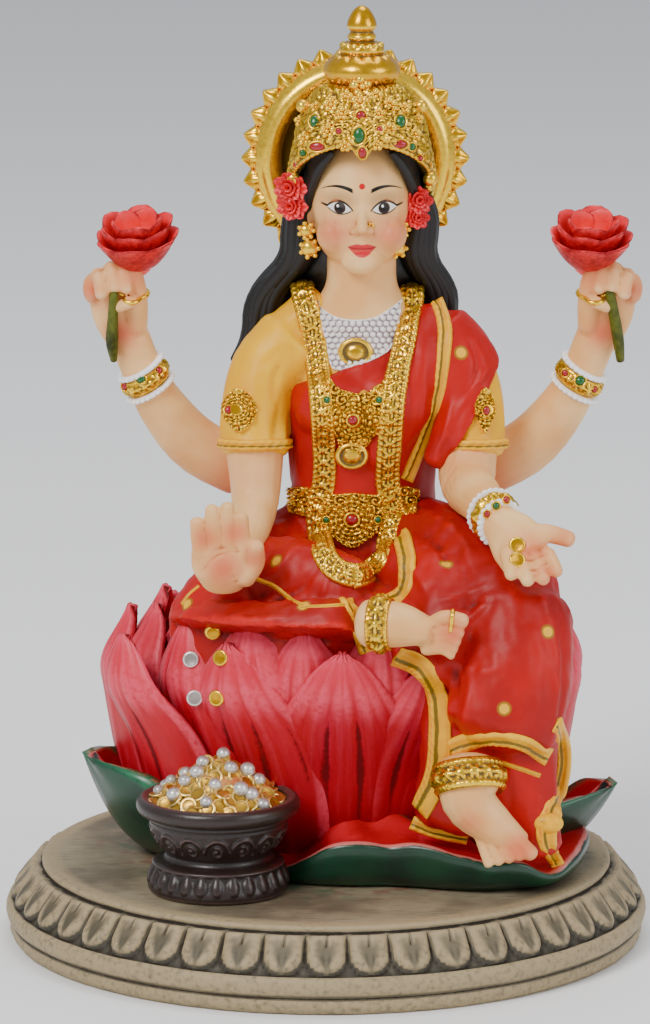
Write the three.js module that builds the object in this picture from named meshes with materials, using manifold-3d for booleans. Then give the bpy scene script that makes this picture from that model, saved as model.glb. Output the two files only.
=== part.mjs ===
// A hand-painted cold-cast figurine of Lakshmi: the four-armed goddess sits on a lotus, one leg folded and
// one hanging, with a pot of coins in front, all on a low round plinth edged with a row of tongues.
// Millimetres, +Z up, the front towards -Y, the origin at the middle of the plinth's underside.
import * as THREE from "three";
import { mergeVertices } from "three/addons/utils/BufferGeometryUtils.js";
import Module from "manifold-3d";

const wasm = await Module();
wasm.setup();

// Driving dimensions of the plinth.
const PLINTH_DIAMETER = 110;
const PLINTH_HEIGHT = 13.6;
const RIM_RUN = 6.3; // how far the disc's edge stands in from the widest band
const FOOT_LIP_HEIGHT = 2.4;
const BAND_HEIGHT = 3.8;
const DISC_EDGE_HEIGHT = 2.2;
const TONGUE_COUNT = 46;
const TONGUE_RELIEF = 0.8;

// Driving dimensions of the pot of coins, which is glued to the disc in front of the lotus.
const POT_X = -18;
const POT_Y = -24.5;
const POT_FOOT_DIAMETER = 23.6;
const POT_FOOT_HEIGHT = 4.6;
const POT_WAIST_INSET = 3;
const POT_RIM_DIAMETER = 27.4;
const POT_RIM_HEIGHT = 16.2;
const POT_RIM_EDGE = 2;
const HEAP_RISE = 8.6;
const HEAP_COINS = 8;
const POT_SIDES = 16;
const POT_GAP = 0.3; // between the pot and the petals and leaves beside it

// Driving dimension of the figure, from the plinth's top to the finial's tip. Its carving and pose are shares
// of this height: it is drawn on a grid of that many units, which are millimetres at the size given here.
const FIGURE_HEIGHT = 145.3;
const GRID_UNITS_TALL = 145.3;
const unit = FIGURE_HEIGHT / GRID_UNITS_TALL;

const BODY_X = 6.2; // the body sits right of the plinth's middle, to leave room for the pot
const LOTUS_AXIS = [3.4, 10];
const LOTUS_PETALS = 12;
// The lotus's wall: rows of [height, distance from its axis at the sides, in front and behind].
const LOTUS_WALL = [
  [0, 30, 22, 27],
  [8, 32, 24, 29],
  [16, 35.6, 26.4, 32],
  [26, 39.4, 32, 34],
  [34, 41.6, 37, 35],
  [41.4, 39.6, 39.4, 34],
];

const SKIN_TOLERANCE = 0.7; // edges shorter than this are let go where forms join
const degrees = THREE.MathUtils.degToRad;
const FRONT = new THREE.Vector3(0, -1, 0);
const UP = new THREE.Vector3(0, 0, 1);

// The closed geometry as a solid.
function solid(geometry) {
  const bare = geometry.clone();
  bare.deleteAttribute("normal");
  bare.deleteAttribute("uv");
  const merged = mergeVertices(bare, 1e-4);
  const body = new wasm.Manifold(
    new wasm.Mesh({
      numProp: 3,
      vertProperties: new Float32Array(merged.attributes.position.array),
      triVerts: new Uint32Array(merged.index.array),
      tolerance: SKIN_TOLERANCE,
    }),
  );
  if (body.volume() <= 0) throw new Error("a shape is inside out");
  return body;
}

function geometryOf(body) {
  const mesh = body.getMesh();
  return new THREE.BufferGeometry()
    .setAttribute("position", new THREE.BufferAttribute(mesh.vertProperties, 3))
    .setIndex(new THREE.BufferAttribute(mesh.triVerts, 1));
}

const joined = (parts) => wasm.Manifold.union(parts);

// A casting is solid, so the pockets that its joined forms shut in are filled.
const filled = (body) => joined(body.decompose().filter((skin) => skin.volume() > 0));

// Every vertex of the geometry goes where move puts it.
function shaped(geometry, move) {
  const position = geometry.attributes.position;
  const point = new THREE.Vector3();
  for (let i = 0; i < position.count; i++) {
    point.fromBufferAttribute(position, i);
    const moved = move(point.clone());
    position.setXYZ(i, moved.x, moved.y, moved.z);
  }
  return geometry;
}

// A smooth round-ended limb through stations [x, y, z, half width, half depth]. Its depth lies along facing.
// Folds run along it where fold is given: past the share foldFrom, every second edge of its section stands
// proud by that much, and the edges between are sunk as deep.
function limb(stations, { sides = 8, steps = 8, facing = FRONT, fold = 0, foldFrom = 0 } = {}) {
  const path = new THREE.CatmullRomCurve3(stations.map(([x, y, z]) => new THREE.Vector3(x, y, z)));
  const girth = new THREE.CatmullRomCurve3(stations.map(([, , , w, d = w]) => new THREE.Vector3(w, d, 0)));
  const END_FULLNESS = 0.72; // the first and last rings are drawn in, which rounds the ends
  const END_RISE = 0.5;
  const ball = new THREE.SphereGeometry(1, sides, steps);
  const tube = shaped(ball, (p) => {
    const ring = Math.round((Math.acos(THREE.MathUtils.clamp(p.y, -1, 1)) / Math.PI) * steps);
    const t = THREE.MathUtils.clamp((ring - 1) / (steps - 2), 0, 1);
    const along = path.getTangent(t);
    const side = new THREE.Vector3().crossVectors(along, facing).normalize();
    const depth = new THREE.Vector3().crossVectors(side, along).normalize();
    const { x: width, y: thick } = girth.getPoint(t);
    const centre = path.getPoint(t);
    const rise = END_RISE * Math.min(width, thick);
    if (ring === 0) return centre.addScaledVector(along, -rise);
    if (ring === steps) return centre.addScaledVector(along, rise);
    const around = Math.atan2(p.z, p.x);
    const full = ring === 1 || ring === steps - 1 ? END_FULLNESS : 1;
    const crease = t < foldFrom ? 0 : fold * Math.cos((sides / 2) * around);
    return centre
      .addScaledVector(side, -Math.cos(around) * (width * full + crease))
      .addScaledVector(depth, Math.sin(around) * (thick * full + crease));
  });
  return solid(tube);
}

// An egg-shaped mass with half sizes along x, y and z.
function mass([x, y, z], [rx, ry, rz], { sides = 10, rings = 7 } = {}) {
  const ball = new THREE.SphereGeometry(1, sides, rings);
  return solid(ball.rotateX(Math.PI / 2).scale(rx, ry, rz).translate(x, y, z));
}

// A turned form round the upright line through x, y, from a profile of [radius, height] pairs.
function lathe(profile, sides) {
  const points = profile.map(([radius, height]) => new THREE.Vector2(radius, height));
  return new THREE.LatheGeometry(points, sides).rotateX(Math.PI / 2);
}

const turned = ([x, y], profile, sides) => solid(lathe(profile, sides).translate(x, y, 0));

// One petal or leaf. It grows from v = 0 at its foot to v = 1 at its tip; spine(v) gives its distance from
// the flower's axis and its height, and halfWidth(v) its half width. It bows outwards by bow at its middle.
function petal({ axis, angle, spine, halfWidth, thickness, bow, along }) {
  const outward = new THREE.Vector3(Math.sin(degrees(angle)), -Math.cos(degrees(angle)), 0);
  const sideways = new THREE.Vector3(-outward.y, outward.x, 0);
  const box = new THREE.BoxGeometry(2, 1, 1, 2, 1, along);
  const leaf = shaped(box, ({ x: u, y: w, z }) => {
    const v = z + 0.5;
    const [radius, height] = spine(v);
    const out = radius - bow * u * u - (w + 0.5) * thickness;
    return new THREE.Vector3(axis[0], axis[1], height)
      .addScaledVector(outward, out)
      .addScaledVector(sideways, u * halfWidth(v));
  });
  return solid(leaf);
}

// A petal's half width: broad from the foot to past the middle, then drawn in to the tip.
function petalWidth(most, foot = 0.6, sharp = 2.6) {
  const TIP = 0.06;
  const SWELL_END = 0.45;
  return (v) => {
    const swell = foot + (1 - foot) * Math.min(1, v / SWELL_END);
    return most * Math.max(TIP, swell * (1 - v ** sharp) ** 0.62);
  };
}

// The stations on the other side of the body.
const mirrored = (stations) => stations.map(([x, ...rest]) => [2 * BODY_X - x, ...rest]);

// The plinth: a turned slab with a plain band, a row of tongues that slope in, and a low disc on top.
function plinth() {
  const rim = PLINTH_DIAMETER / 2;
  const disc = rim - RIM_RUN;
  const bandTop = FOOT_LIP_HEIGHT + BAND_HEIGHT;
  const discFoot = PLINTH_HEIGHT - DISC_EDGE_HEIGHT;
  const EDGE_SLOPE = 0.4;
  const tongueFoot = [rim - 0.4, bandTop];
  const tongueHead = [disc + 1, discFoot - 0.1];
  const slope = (share) => [0, 1].map((k) => tongueFoot[k] + share * (tongueHead[k] - tongueFoot[k]));
  const profile = [
    [0, 0],
    [rim - 1, 0],
    [rim, FOOT_LIP_HEIGHT],
    slope(0.1),
    slope(0.9),
    [disc, discFoot],
    [disc - EDGE_SLOPE, PLINTH_HEIGHT],
    [0, PLINTH_HEIGHT],
  ];
  const [lowest, highest] = [slope(0.05)[1], slope(0.95)[1]];
  const SEGMENTS_PER_TONGUE = 2;
  const slab = lathe(profile, SEGMENTS_PER_TONGUE * TONGUE_COUNT);
  return shaped(slab, (p) => {
    if (p.z < lowest || p.z > highest) return p;
    const swell = TONGUE_RELIEF * Math.cos(TONGUE_COUNT * Math.atan2(p.y, p.x));
    const grown = 1 + swell / Math.hypot(p.x, p.y);
    return p.multiply(new THREE.Vector3(grown, grown, 1));
  });
}

// The pot's outline, let out by gap, up to the point where the heap starts.
function potOutline(gap = 0) {
  const foot = POT_FOOT_DIAMETER / 2 + gap;
  const rim = POT_RIM_DIAMETER / 2 + gap;
  return [
    [foot - 0.6, 0],
    [foot, 1.4],
    [foot - 0.8, POT_FOOT_HEIGHT],
    [foot - POT_WAIST_INSET, POT_FOOT_HEIGHT + 1.2],
    [foot - POT_WAIST_INSET + 0.8, POT_FOOT_HEIGHT + 3],
    [rim - 1.6, POT_RIM_HEIGHT - POT_RIM_EDGE - 1.4],
    [rim, POT_RIM_HEIGHT - POT_RIM_EDGE],
    [rim, POT_RIM_HEIGHT],
  ];
}

// The pot of coins: a footed bowl, heaped over its rim with coins and beads.
function coinPot() {
  const rim = POT_RIM_DIAMETER / 2;
  const heap = [
    [rim - POT_RIM_EDGE, POT_RIM_HEIGHT],
    [rim * 0.62, POT_RIM_HEIGHT + HEAP_RISE * 0.55],
    [rim * 0.3, POT_RIM_HEIGHT + HEAP_RISE * 0.9],
    [0, POT_RIM_HEIGHT + HEAP_RISE],
  ];
  const bowl = turned([POT_X, POT_Y], [[0, 0], ...potOutline(), ...heap], POT_SIDES);
  const GOLDEN_TURN = 2.4;
  const coins = Array.from({ length: HEAP_COINS }, (_, i) => {
    const share = 0.2 + (0.55 * i) / HEAP_COINS;
    const [out, turn] = [share * rim, i * GOLDEN_TURN];
    const place = [POT_X + out * Math.cos(turn), POT_Y + out * Math.sin(turn)];
    const height = POT_RIM_HEIGHT + HEAP_RISE * (1.08 - 0.85 * share);
    return mass([...place, height], [1.6, 1.6, 1.4], { sides: 5, rings: 3 });
  });
  return geometryOf(joined([bowl, ...coins])).translate(0, 0, PLINTH_HEIGHT);
}

// The room that the pot takes in front of the lotus.
function potRoom() {
  const outline = potOutline(POT_GAP);
  const BELOW = -1;
  const top = POT_RIM_HEIGHT + HEAP_RISE;
  const profile = [
    [0, BELOW], [outline[0][0], BELOW], ...outline, [POT_RIM_DIAMETER / 2 + POT_GAP, top], [0, top],
  ];
  return turned([POT_X, POT_Y], profile, POT_SIDES);
}

const wallHeights = new THREE.CatmullRomCurve3(LOTUS_WALL.map(([z]) => new THREE.Vector3(0, 0, z)));
const wallRadii = new THREE.CatmullRomCurve3(LOTUS_WALL.map(([, ...radii]) => new THREE.Vector3(...radii)));

// The lotus's wall at share t of its rise, in the direction angle: its distance from the axis and its height.
function lotusWall(t, angle) {
  const share = THREE.MathUtils.clamp(t, 0, 1);
  const { x: side, y: front, z: behind } = wallRadii.getPoint(share);
  const facing = Math.cos(degrees(angle));
  const blend = Math.abs(facing) ** 1.4;
  return [side + ((facing > 0 ? front : behind) - side) * blend, wallHeights.getPoint(share).z];
}

// How far up a petal's outline reaches at share a of its half width, from 1 at its middle to 0 at its side.
const outlineRise = (a) => Math.max(0, 1 - Math.abs(a) ** 1.7) ** 0.42;

// A cup of two rings of petals as one skin: the outer ring, and the inner one that shows between its tips.
// wall(t, angle) gives the outer ring's distance from the axis and height at share t of its rise. The sides
// of a petal fall back from its middle by bulge, and flutes run up it.
function petalCup({ axis, count, segments, rows, wall, inset, bulge, flute, floor, innerRise = 1 }) {
  const half = 180 / count; // half the angle that a petal takes up
  const across = (angle) => angle / half - 2 * Math.round(angle / half / 2);
  const skin = Array.from({ length: rows + 1 }, (_, i) => [1, i / rows]);
  const drum = lathe([[0, 0], ...skin, [0, floor]], segments);
  const cup = shaped(drum, (p) => {
    const angle = THREE.MathUtils.radToDeg(Math.atan2(p.x, -p.y));
    const outer = across(angle);
    const inner = across(angle + half);
    const outerTop = outlineRise(outer);
    const share = Math.max(0, p.z) * Math.max(outerTop, innerRise * outlineRise(inner));
    const onOuter = share <= outerTop + 1e-6;
    const [radius, height] = wall(share, angle);
    const sunk = bulge * (onOuter ? outer : inner) ** 2 + (onOuter ? 0 : inset);
    const ribs = flute * Math.cos(Math.PI * (angle / (360 / segments))) * Math.sin(Math.PI * share);
    const reach = Math.hypot(p.x, p.y) * (radius - sunk + ribs);
    const turn = Math.atan2(p.y, p.x);
    return new THREE.Vector3(axis[0] + reach * Math.cos(turn), axis[1] + reach * Math.sin(turn), height);
  });
  return solid(cup);
}

// The lotus seat: a cup of fluted petals, and broad leaves at its foot.
function lotusSeat() {
  const cup = petalCup({
    axis: LOTUS_AXIS,
    count: LOTUS_PETALS,
    segments: 6 * LOTUS_PETALS,
    rows: 3,
    wall: lotusWall,
    inset: 2.6,
    bulge: 2.4,
    flute: 0.35,
    floor: 0.8,
  });
  return [cup, ...lotusLeaves()];
}

// The leaves round the lotus's foot: each rises from the disc at its base and leans out to its reach.
function lotusLeaves() {
  const leaves = [
    { angle: -84, base: 32, reach: 44, lift: 18, most: 12 },
    { angle: 76, base: 35, reach: 46.6, lift: 13.8, most: 11 },
    { angle: 52, base: 42, reach: 43.4, lift: 4.4, most: 10 },
    { angle: 24, base: 40.4, reach: 42, lift: 6, most: 17 },
    { angle: -5, base: 33, reach: 35, lift: 9, most: 12 },
    { angle: 134, base: 31, reach: 38, lift: 12, most: 13 },
    { angle: -136, base: 31, reach: 38, lift: 12, most: 13 },
  ];
  return leaves.map(({ angle, base, reach, lift, most }) =>
    petal({
      axis: LOTUS_AXIS,
      angle,
      spine: (v) => [base + (reach - base) * v, lift * v],
      halfWidth: petalWidth(most, 0.85, 3),
      thickness: 12,
      bow: 2.4,
      along: 2,
    }),
  );
}

// The wrapped lower body: hips, both thighs, the shin folded across the seat and the shin that hangs.
function lowerBody() {
  const leg = { sides: 8, steps: 6, facing: UP };
  return [
    limb([
      [6, 10, 36, 26, 22], [6, 8, 45, 25, 20], [6.2, 5, 53, 17, 12.5], [6.2, 4, 62, 11.8, 9],
    ], { sides: 12, steps: 5 }),
    mass([5, -12, 43], [24, 18, 8], { sides: 10, rings: 4 }),
    limb([[-4, 4, 48, 12, 10], [-12, -5, 46.4, 10.6, 9.4], [-19.6, -14, 41.6, 8.2, 8.4]], leg),
    limb([
      [-20.4, -18, 41, 7, 7.4], [-8, -26, 43, 6.4, 6.8], [4, -30, 45.8, 5.2, 5.4],
      [9.6, -31.4, 46.8, 5, 5],
    ], { ...leg, fold: 0.4 }),
    limb([[13, 4, 50, 12, 10], [23.4, -10, 51, 10.6, 9.8], [32, -22, 46.4, 9.4, 9.8]], leg),
    limb([
      [32.4, -24, 45, 9.4, 9], [31, -29, 36, 9.6, 8], [28.6, -31.4, 28.6, 9.8, 6],
    ], { sides: 12, steps: 6, fold: 0.4 }),
  ];
}

// The cloth that hangs from the knees to the lotus leaf, with its bordered edges.
function drapery() {
  const border = (stations, steps = 7) => limb(stations, { sides: 4, steps });
  return [
    limb([
      [26.6, -22, 40, 11.6, 7], [27, -24, 24, 11.4, 6], [26, -25, 12, 11.6, 5.6],
    ], { sides: 12, steps: 5, fold: 0.5 }),
    limb([[33, -25, 32, 6, 5], [33, -26.4, 18, 5.6, 4.4], [36, -27.4, 8, 3.4, 3.4]], { sides: 6, steps: 5 }),
    border([
      [9, -33, 43.4, 2.4, 1.6], [14.6, -35, 40, 2.6, 1.8], [17.4, -35.6, 33, 2.6, 1.8],
      [17, -34.6, 24, 2.4, 1.8], [14.2, -32.6, 12, 2.1, 1.8],
    ], 9),
    border([[14, -31.6, 12, 2.1, 1.7], [19, -32, 10.4, 2, 1.7], [25, -32, 8.6, 1.8, 1.6]], 5),
    border([
      [40.4, -24, 42, 1.8, 1.8], [38.8, -27, 31, 2, 1.9], [38, -28.6, 20, 2, 1.8],
      [38, -30, 6, 1.9, 1.7],
    ]),
    border([[18.6, -35, 25.4, 1.9, 1.8], [29, -37.2, 27.4, 2, 1.8], [37.6, -31, 22, 2, 1.8]], 6),
    border([[1.4, -28, 50.6, 1.9, 1.5], [4, -32.6, 46.4, 2, 1.5], [7.4, -35, 42.6, 2, 1.5]], 5),
    border([[15.4, -6, 57.6, 2.5, 2], [15, -14, 53.6, 2.5, 2], [13.4, -22, 50.6, 2.2, 1.8]], 5),
  ];
}

// Both feet: the one laid across the lap and the one that hangs. Grooves part the toes.
function feet() {
  const TOES = { sides: 10, fold: 0.45, foldFrom: 0.75 };
  return [
    limb([
      [8, -31.4, 46.8, 4, 4], [12.4, -32.6, 46.8, 4.1, 3.8], [17.4, -33.6, 45.8, 4.4, 2.8],
      [20.8, -34.2, 45, 4, 1.7],
    ], {
      ...TOES,
      steps: 7,
      facing: UP,
    }),
    limb([
      [23.6, -31, 22, 5.8, 5.4], [23.8, -33, 17, 4.8, 4.4], [27.4, -33.6, 13.4, 3.8, 3.4],
      [32, -34.2, 9.8, 3.4, 1.8],
    ], {
      ...TOES,
      steps: 8,
    }),
  ];
}

// The trunk with its sleeves, neck and the shawl over one shoulder.
function trunk() {
  const sleeve = [
    [-5.5, 3, 88, 7, 6.4], [-9.6, 2, 84, 6.4, 6.4], [-12, 0, 77, 5.8, 6], [-12, -2, 70.4, 5.9, 6],
  ];
  const upright = [
    [6.2, 4, 58, 12.4, 9.6],
    [6.2, 4, 63, 11.8, 9],
    [6.2, 3.4, 72, 12.6, 9.6],
    [6.2, 3, 80, 13.6, 9.8],
    [6.2, 4, 88, 12, 7.8],
    [6.2, 3.4, 94, 6.4, 5.8],
    [6.2, 2.2, 103, 5.6, 5.6],
  ];
  return [
    limb(upright, { sides: 12, steps: 8 }),
    mass([BODY_X, -1.6, 78.6], [11.4, 7.4, 6], { sides: 10, rings: 4 }),
    limb(sleeve, { sides: 8, steps: 5 }),
    limb(mirrored(sleeve), { sides: 8, steps: 5 }),
    limb([
      [17, 4, 89, 5, 5.6], [21.4, 3, 86, 4.6, 6.8], [24.2, 1, 79.6, 2.6, 6], [18.6, -4, 72, 2.6, 3.4],
    ], { sides: 6, steps: 6 }),
  ];
}

// The arms in front: one palm shows to the front, the other lies open on the knee. Grooves part the fingers.
function frontArms() {
  const FINGERS = { sides: 10, steps: 6, fold: 0.5, foldFrom: 0.5 };
  const thumb = (stations) => limb(stations, { sides: 5, steps: 3 });
  return [
    limb([
      [-12, -2, 71, 5, 5], [-12, -5, 62, 4, 4], [-13.4, -12, 57.4, 3.4, 3.4],
      [-16.4, -21.4, 53, 2.9, 2.8],
    ], { sides: 8, steps: 7 }),
    limb([
      [-17, -22, 51.4, 3.8, 2.6], [-17, -23.6, 54.4, 5.4, 2.6], [-17.2, -24.4, 59, 5.6, 2.2],
      [-18, -24.6, 64.6, 4.6, 1.5],
    ], FINGERS),
    thumb([[-13.4, -23.6, 53.6, 1.7], [-11.8, -24.2, 56, 1.6], [-11.8, -24.6, 59, 1.5]]),
    limb([
      [24, -2, 71, 5, 5], [23.8, -6, 66, 4.8, 4.8], [25.6, -14, 64.4, 4, 4],
      [28.4, -22.6, 62.6, 3.2, 3.2],
    ], { sides: 8, steps: 7 }),
    limb([
      [28.4, -23, 62.2, 3.2, 3], [31, -26, 60, 4.8, 2.8], [33.6, -29, 57.6, 4.8, 2.2],
      [34.4, -32, 54.4, 4, 1.6],
    ], FINGERS),
    thumb([[33, -26.6, 60.4, 1.7], [37, -27, 60.4, 1.6], [40, -27.4, 59.8, 1.4]]),
  ];
}

// One raised arm behind the body: forearm, hand with curled fingers, the lotus stem and its flower.
function raisedArm(side) {
  const placed = (stations) => (side < 0 ? stations : mirrored(stations));
  const part = (stations, options) => limb(placed(stations), options);
  const [[flowerX]] = placed([[-31.6]]);
  const flowerRing = ({ count, foot, tip, reach }) =>
    petalCup({
      axis: [flowerX, 0],
      count,
      segments: 2 * count,
      rows: 2,
      wall: (t) => [reach * (0.4 + 0.6 * t ** 0.7), foot + (tip - foot) * t],
      inset: 0.6,
      bulge: 0.7,
      flute: 0,
      floor: 0.8,
      innerRise: 0.8,
    });
  const toElbow = [[-5, 8, 86, 5, 5], [-11.6, 9.6, 73, 5.4, 5], [-15.8, 9.6, 63.4, 5.6, 5]];
  const toWrist = [
    [-21.6, 8.8, 68, 5.1, 4.8], [-28, 6.9, 76, 4.4, 4], [-31.4, 5.1, 82.4, 4.8, 4.6],
    [-33.2, 4, 88, 3.8, 3],
  ];
  return [
    part([...toElbow, ...toWrist], { sides: 8, steps: 8 }),
    part([
      [-33, 4.2, 87, 3.6, 2.8], [-35.2, 3.4, 92, 4.7, 2.8], [-36.4, 2.4, 98, 4.9, 3.2],
      [-36.2, 1.6, 101.4, 4, 2.8],
    ], {
      sides: 10,
      steps: 6,
      fold: 0.4,
      foldFrom: 0.6,
    }),
    part([[-32.4, 2, 93, 2], [-31.4, 1.2, 98.4, 1.9], [-31.4, 0.4, 102.4, 1.9]], { sides: 6, steps: 4 }),
    part([[-33.8, -1.4, 100, 1.2], [-34.4, -0.4, 94, 1.3], [-34.6, 0.4, 88, 1.4]], { sides: 4, steps: 4 }),
    flowerRing({ count: 8, foot: 101.8, tip: 109.4, reach: 6.8 }),
    flowerRing({ count: 5, foot: 104, tip: 112.7, reach: 4 }),
  ];
}

// The head: face, hair down the back in locks, and a flower over each ear.
function head() {
  const x = BODY_X - 0.2;
  const lock = (s) => {
    const run = [
      [9, 4, 109, 2.6, 4], [12, 5.4, 101, 3.4, 4.6], [16.4, 6.2, 93, 3.6, 4.4], [19, 6.6, 86, 2.4, 3.4],
    ];
    return limb(run.map(([across, ...rest]) => [x + across * s, ...rest]), { sides: 6, steps: 5, fold: 0.4 });
  };
  const earFlower = (s) => mass([x + 10.4 * s, 0.6, 111], [2.6, 3, 4], { sides: 6, rings: 4 });
  const hair = [
    [x, 8, 119, 9, 6], [x, 10.6, 106, 11, 5.4], [x, 11.6, 92, 15, 4.6], [x, 12, 77, 13, 4],
    [x, 12, 66, 7.5, 3],
  ];
  return [
    mass([x, 2, 113.4], [8.6, 9.4, 11.4], { sides: 10, rings: 7 }),
    limb([[x, -6.8, 113, 1], [x, -8.2, 109.8, 1.4]], { sides: 4, steps: 4 }),
    mass([x, 5, 115], [10.2, 9.4, 11], { sides: 10, rings: 4 }),
    limb(hair, { sides: 14, steps: 5, fold: 0.7 }),
    lock(-1),
    lock(1),
    earFlower(-1),
    earFlower(1),
  ];
}

// The tall crown: a dome, a ring and a bud-shaped finial, inside a band of upright leaf-shaped plates. The
// band leans back, so that its brim stands higher over the brow than at the sides.
function crown() {
  const axis = [BODY_X - 0.2, 3];
  const LEAN = 0.24;
  const profile = [
    [0, 118],
    [9.8, 118],
    [10, 124],
    [9.6, 128.6],
    [5, 132.4],
    [6.3, 133.8],
    [6.2, 135.6],
    [4.3, 137.4],
    [2, 139.4],
    [2.8, 142],
    [1.7, 144.4],
    [0, GRID_UNITS_TALL],
  ];
  const PLATES = 9;
  const plates = petalCup({
    axis,
    count: PLATES,
    segments: 2 * PLATES,
    rows: 2,
    wall: (t, angle) => [12 - 2 * t * t, 117.6 + 9.6 * t + LEAN * 12 * Math.cos(degrees(angle))],
    inset: 0.6,
    bulge: 0.7,
    flute: 0,
    floor: 0.6,
    innerRise: 0.7,
  });
  const frontPlate = petal({
    axis,
    angle: 0,
    spine: (v) => [12.8 - 3.8 * v * v, 120.2 + 12 * v],
    halfWidth: petalWidth(4.4, 0.8, 2.4),
    thickness: 1.6,
    bow: 0.8,
    along: 3,
  });
  const KNOB = [1.7, 1.7, 1.7];
  const knobs = [-1, 1].map((s) => mass([axis[0] + 9.4 * s, 2, 128.4], KNOB, { sides: 6, rings: 3 }));
  return [turned(axis, profile, 10), plates, frontPlate, ...knobs];
}

// The halo: a dished plate behind the head with a rolled rim and a ring of teeth.
function halo() {
  const [x, y, z] = [5, 12, 118.4];
  const TEETH = 30;
  const RIM_OUTSIDE = 17.3;
  const TOOTH_RISE = 2.1;
  const profile = [[0, -1.2], [RIM_OUTSIDE, -0.2], [15.6, 2.2], [13.2, 0.6], [0, 0.6]];
  const plate = lathe(profile, 2 * TEETH);
  const toothed = shaped(plate, (p) => {
    const reach = Math.hypot(p.x, p.y);
    if (Math.abs(reach - RIM_OUTSIDE) > 0.01) return p;
    const tooth = TOOTH_RISE * Math.max(0, Math.cos(TEETH * Math.atan2(p.y, p.x)));
    return p.multiply(new THREE.Vector3(1 + tooth / reach, 1 + tooth / reach, 1));
  });
  return [solid(toothed.rotateX(Math.PI / 2).translate(x, y, z))];
}

// Finds how far forward a body reaches at x, z, so that what it wears lies on it.
function frontOf(body) {
  const mesh = new THREE.Mesh(geometryOf(body), new THREE.MeshBasicMaterial({ side: THREE.DoubleSide }));
  const FAR_FRONT = -200;
  return (x, z) => {
    const ray = new THREE.Raycaster(new THREE.Vector3(x, FAR_FRONT, z), new THREE.Vector3(0, 1, 0));
    const [hit] = ray.intersectObject(mesh);
    return hit ? hit.point.y : 0;
  };
}

// Jewels: two long garlands that meet below the belt, the breast piece, medallion, belt, armlets and a
// bangle. The other bracelets and the anklets are swellings of their limbs.
function jewellery(front) {
  const worn = (points, width, depth, steps) =>
    limb(points.map(([x, z]) => [x, front(x, z) + 0.3 * depth, z, width, depth]), { sides: 4, steps });
  const DISC = { sides: 8, rings: 3 };
  const disc = (x, z, radius, rise) => mass([x, front(x, z), z], [radius, rise, radius], DISC);
  const MIDDLE = 4.6;
  const garland = [
    [-4.6, 95], [-3, 89.5], [-1.6, 84.5], [-1.2, 79], [-0.8, 74], [-0.6, 66], [-1.6, 60], [0, 55.6],
    [2.4, 53.4], [MIDDLE, 52.4],
  ];
  const otherSide = (points) => points.map(([x, z]) => [2 * MIDDLE - x, z]);
  const bangle = limb([
    [26.9, -18.6, 63.5, 4.4], [27.9, -21.4, 62.9, 4.4],
  ], { sides: 7, steps: 4, facing: UP });
  const ARMLET_HALF = [2.6, 2.8, 3.8];
  return [
    worn(garland, 2.2, 1.3, 9),
    worn(otherSide(garland), 2.2, 1.3, 9),
    worn([[-6, 62.6], [-1, 61.4], [MIDDLE, 60.8], [10, 61.4], [16, 62.6]], 2.8, 1.6, 6),
    worn([[17.6, 95], [19.4, 88.4], [18.4, 79.6], [15.6, 71.6], [13.6, 65.6]], 2.1, 1.7, 6),
    disc(MIDDLE, 60.6, 3.4, 2.1),
    disc(MIDDLE, 77.6, 6, 1.8),
    disc(MIDDLE, 89, 2.1, 1),
    mass([-15.2, -2.6, 76.4], ARMLET_HALF, { sides: 6, rings: 4 }),
    mass([27.6, -2.6, 76.4], ARMLET_HALF, { sides: 6, rings: 4 }),
    bangle,
  ];
}

// Everything above the plinth but the pot is one casting.
function figure() {
  const body = [...lowerBody(), ...trunk()];
  const limbs = [...feet(), ...frontArms(), ...raisedArm(-1), ...raisedArm(1)];
  const worn = [...drapery(), ...jewellery(frontOf(joined(body))), ...crown(), ...halo()];
  const casting = joined([...lotusSeat(), ...body, ...limbs, ...head(), ...worn]).scale([unit, unit, unit]);
  const DEEP = 50;
  const below = new THREE.BoxGeometry(4 * DEEP, 4 * DEEP, DEEP).translate(0, 0, -DEEP / 2);
  const carved = casting.subtract(solid(below)).subtract(potRoom());
  return geometryOf(filled(carved)).translate(0, 0, PLINTH_HEIGHT);
}

function named(name, geometry, colour, roughness, metalness = 0) {
  const material = new THREE.MeshStandardMaterial({ color: colour, roughness, metalness });
  const mesh = new THREE.Mesh(geometry, material);
  mesh.name = name;
  return mesh;
}

const figurine = new THREE.Group();
figurine.add(named("plinth", plinth(), 0x8d8270, 0.8));
figurine.add(named("lakshmi_figure", figure(), 0xc8201a, 0.45));
figurine.add(named("coin_pot", coinPot(), 0x4a3034, 0.5, 0.1));

export default figurine;
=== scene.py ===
# %% [markdown]
# # Lakshmi on her lotus, a painted figurine
# The real thing is a souvenir about 16 cm tall. It is cast in resin filled with stone powder and painted by
# hand: pink petals, red cloth with yellow borders, gold jewellery with a dark wash in its hollows. Rubber
# moulds round every edge a little, so crisp edges would look wrong here. That decides the method. Forms are
# built from simple operator shapes, melted together like clay where the caster's model was clay, and then
# carved: their points are pushed along their normals by short formulas.

# %% Load the frame
import math
import random

import bmesh
import bpy
import numpy as np
from mathutils import Matrix, Vector
from mathutils.bvhtree import BVHTree


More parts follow.
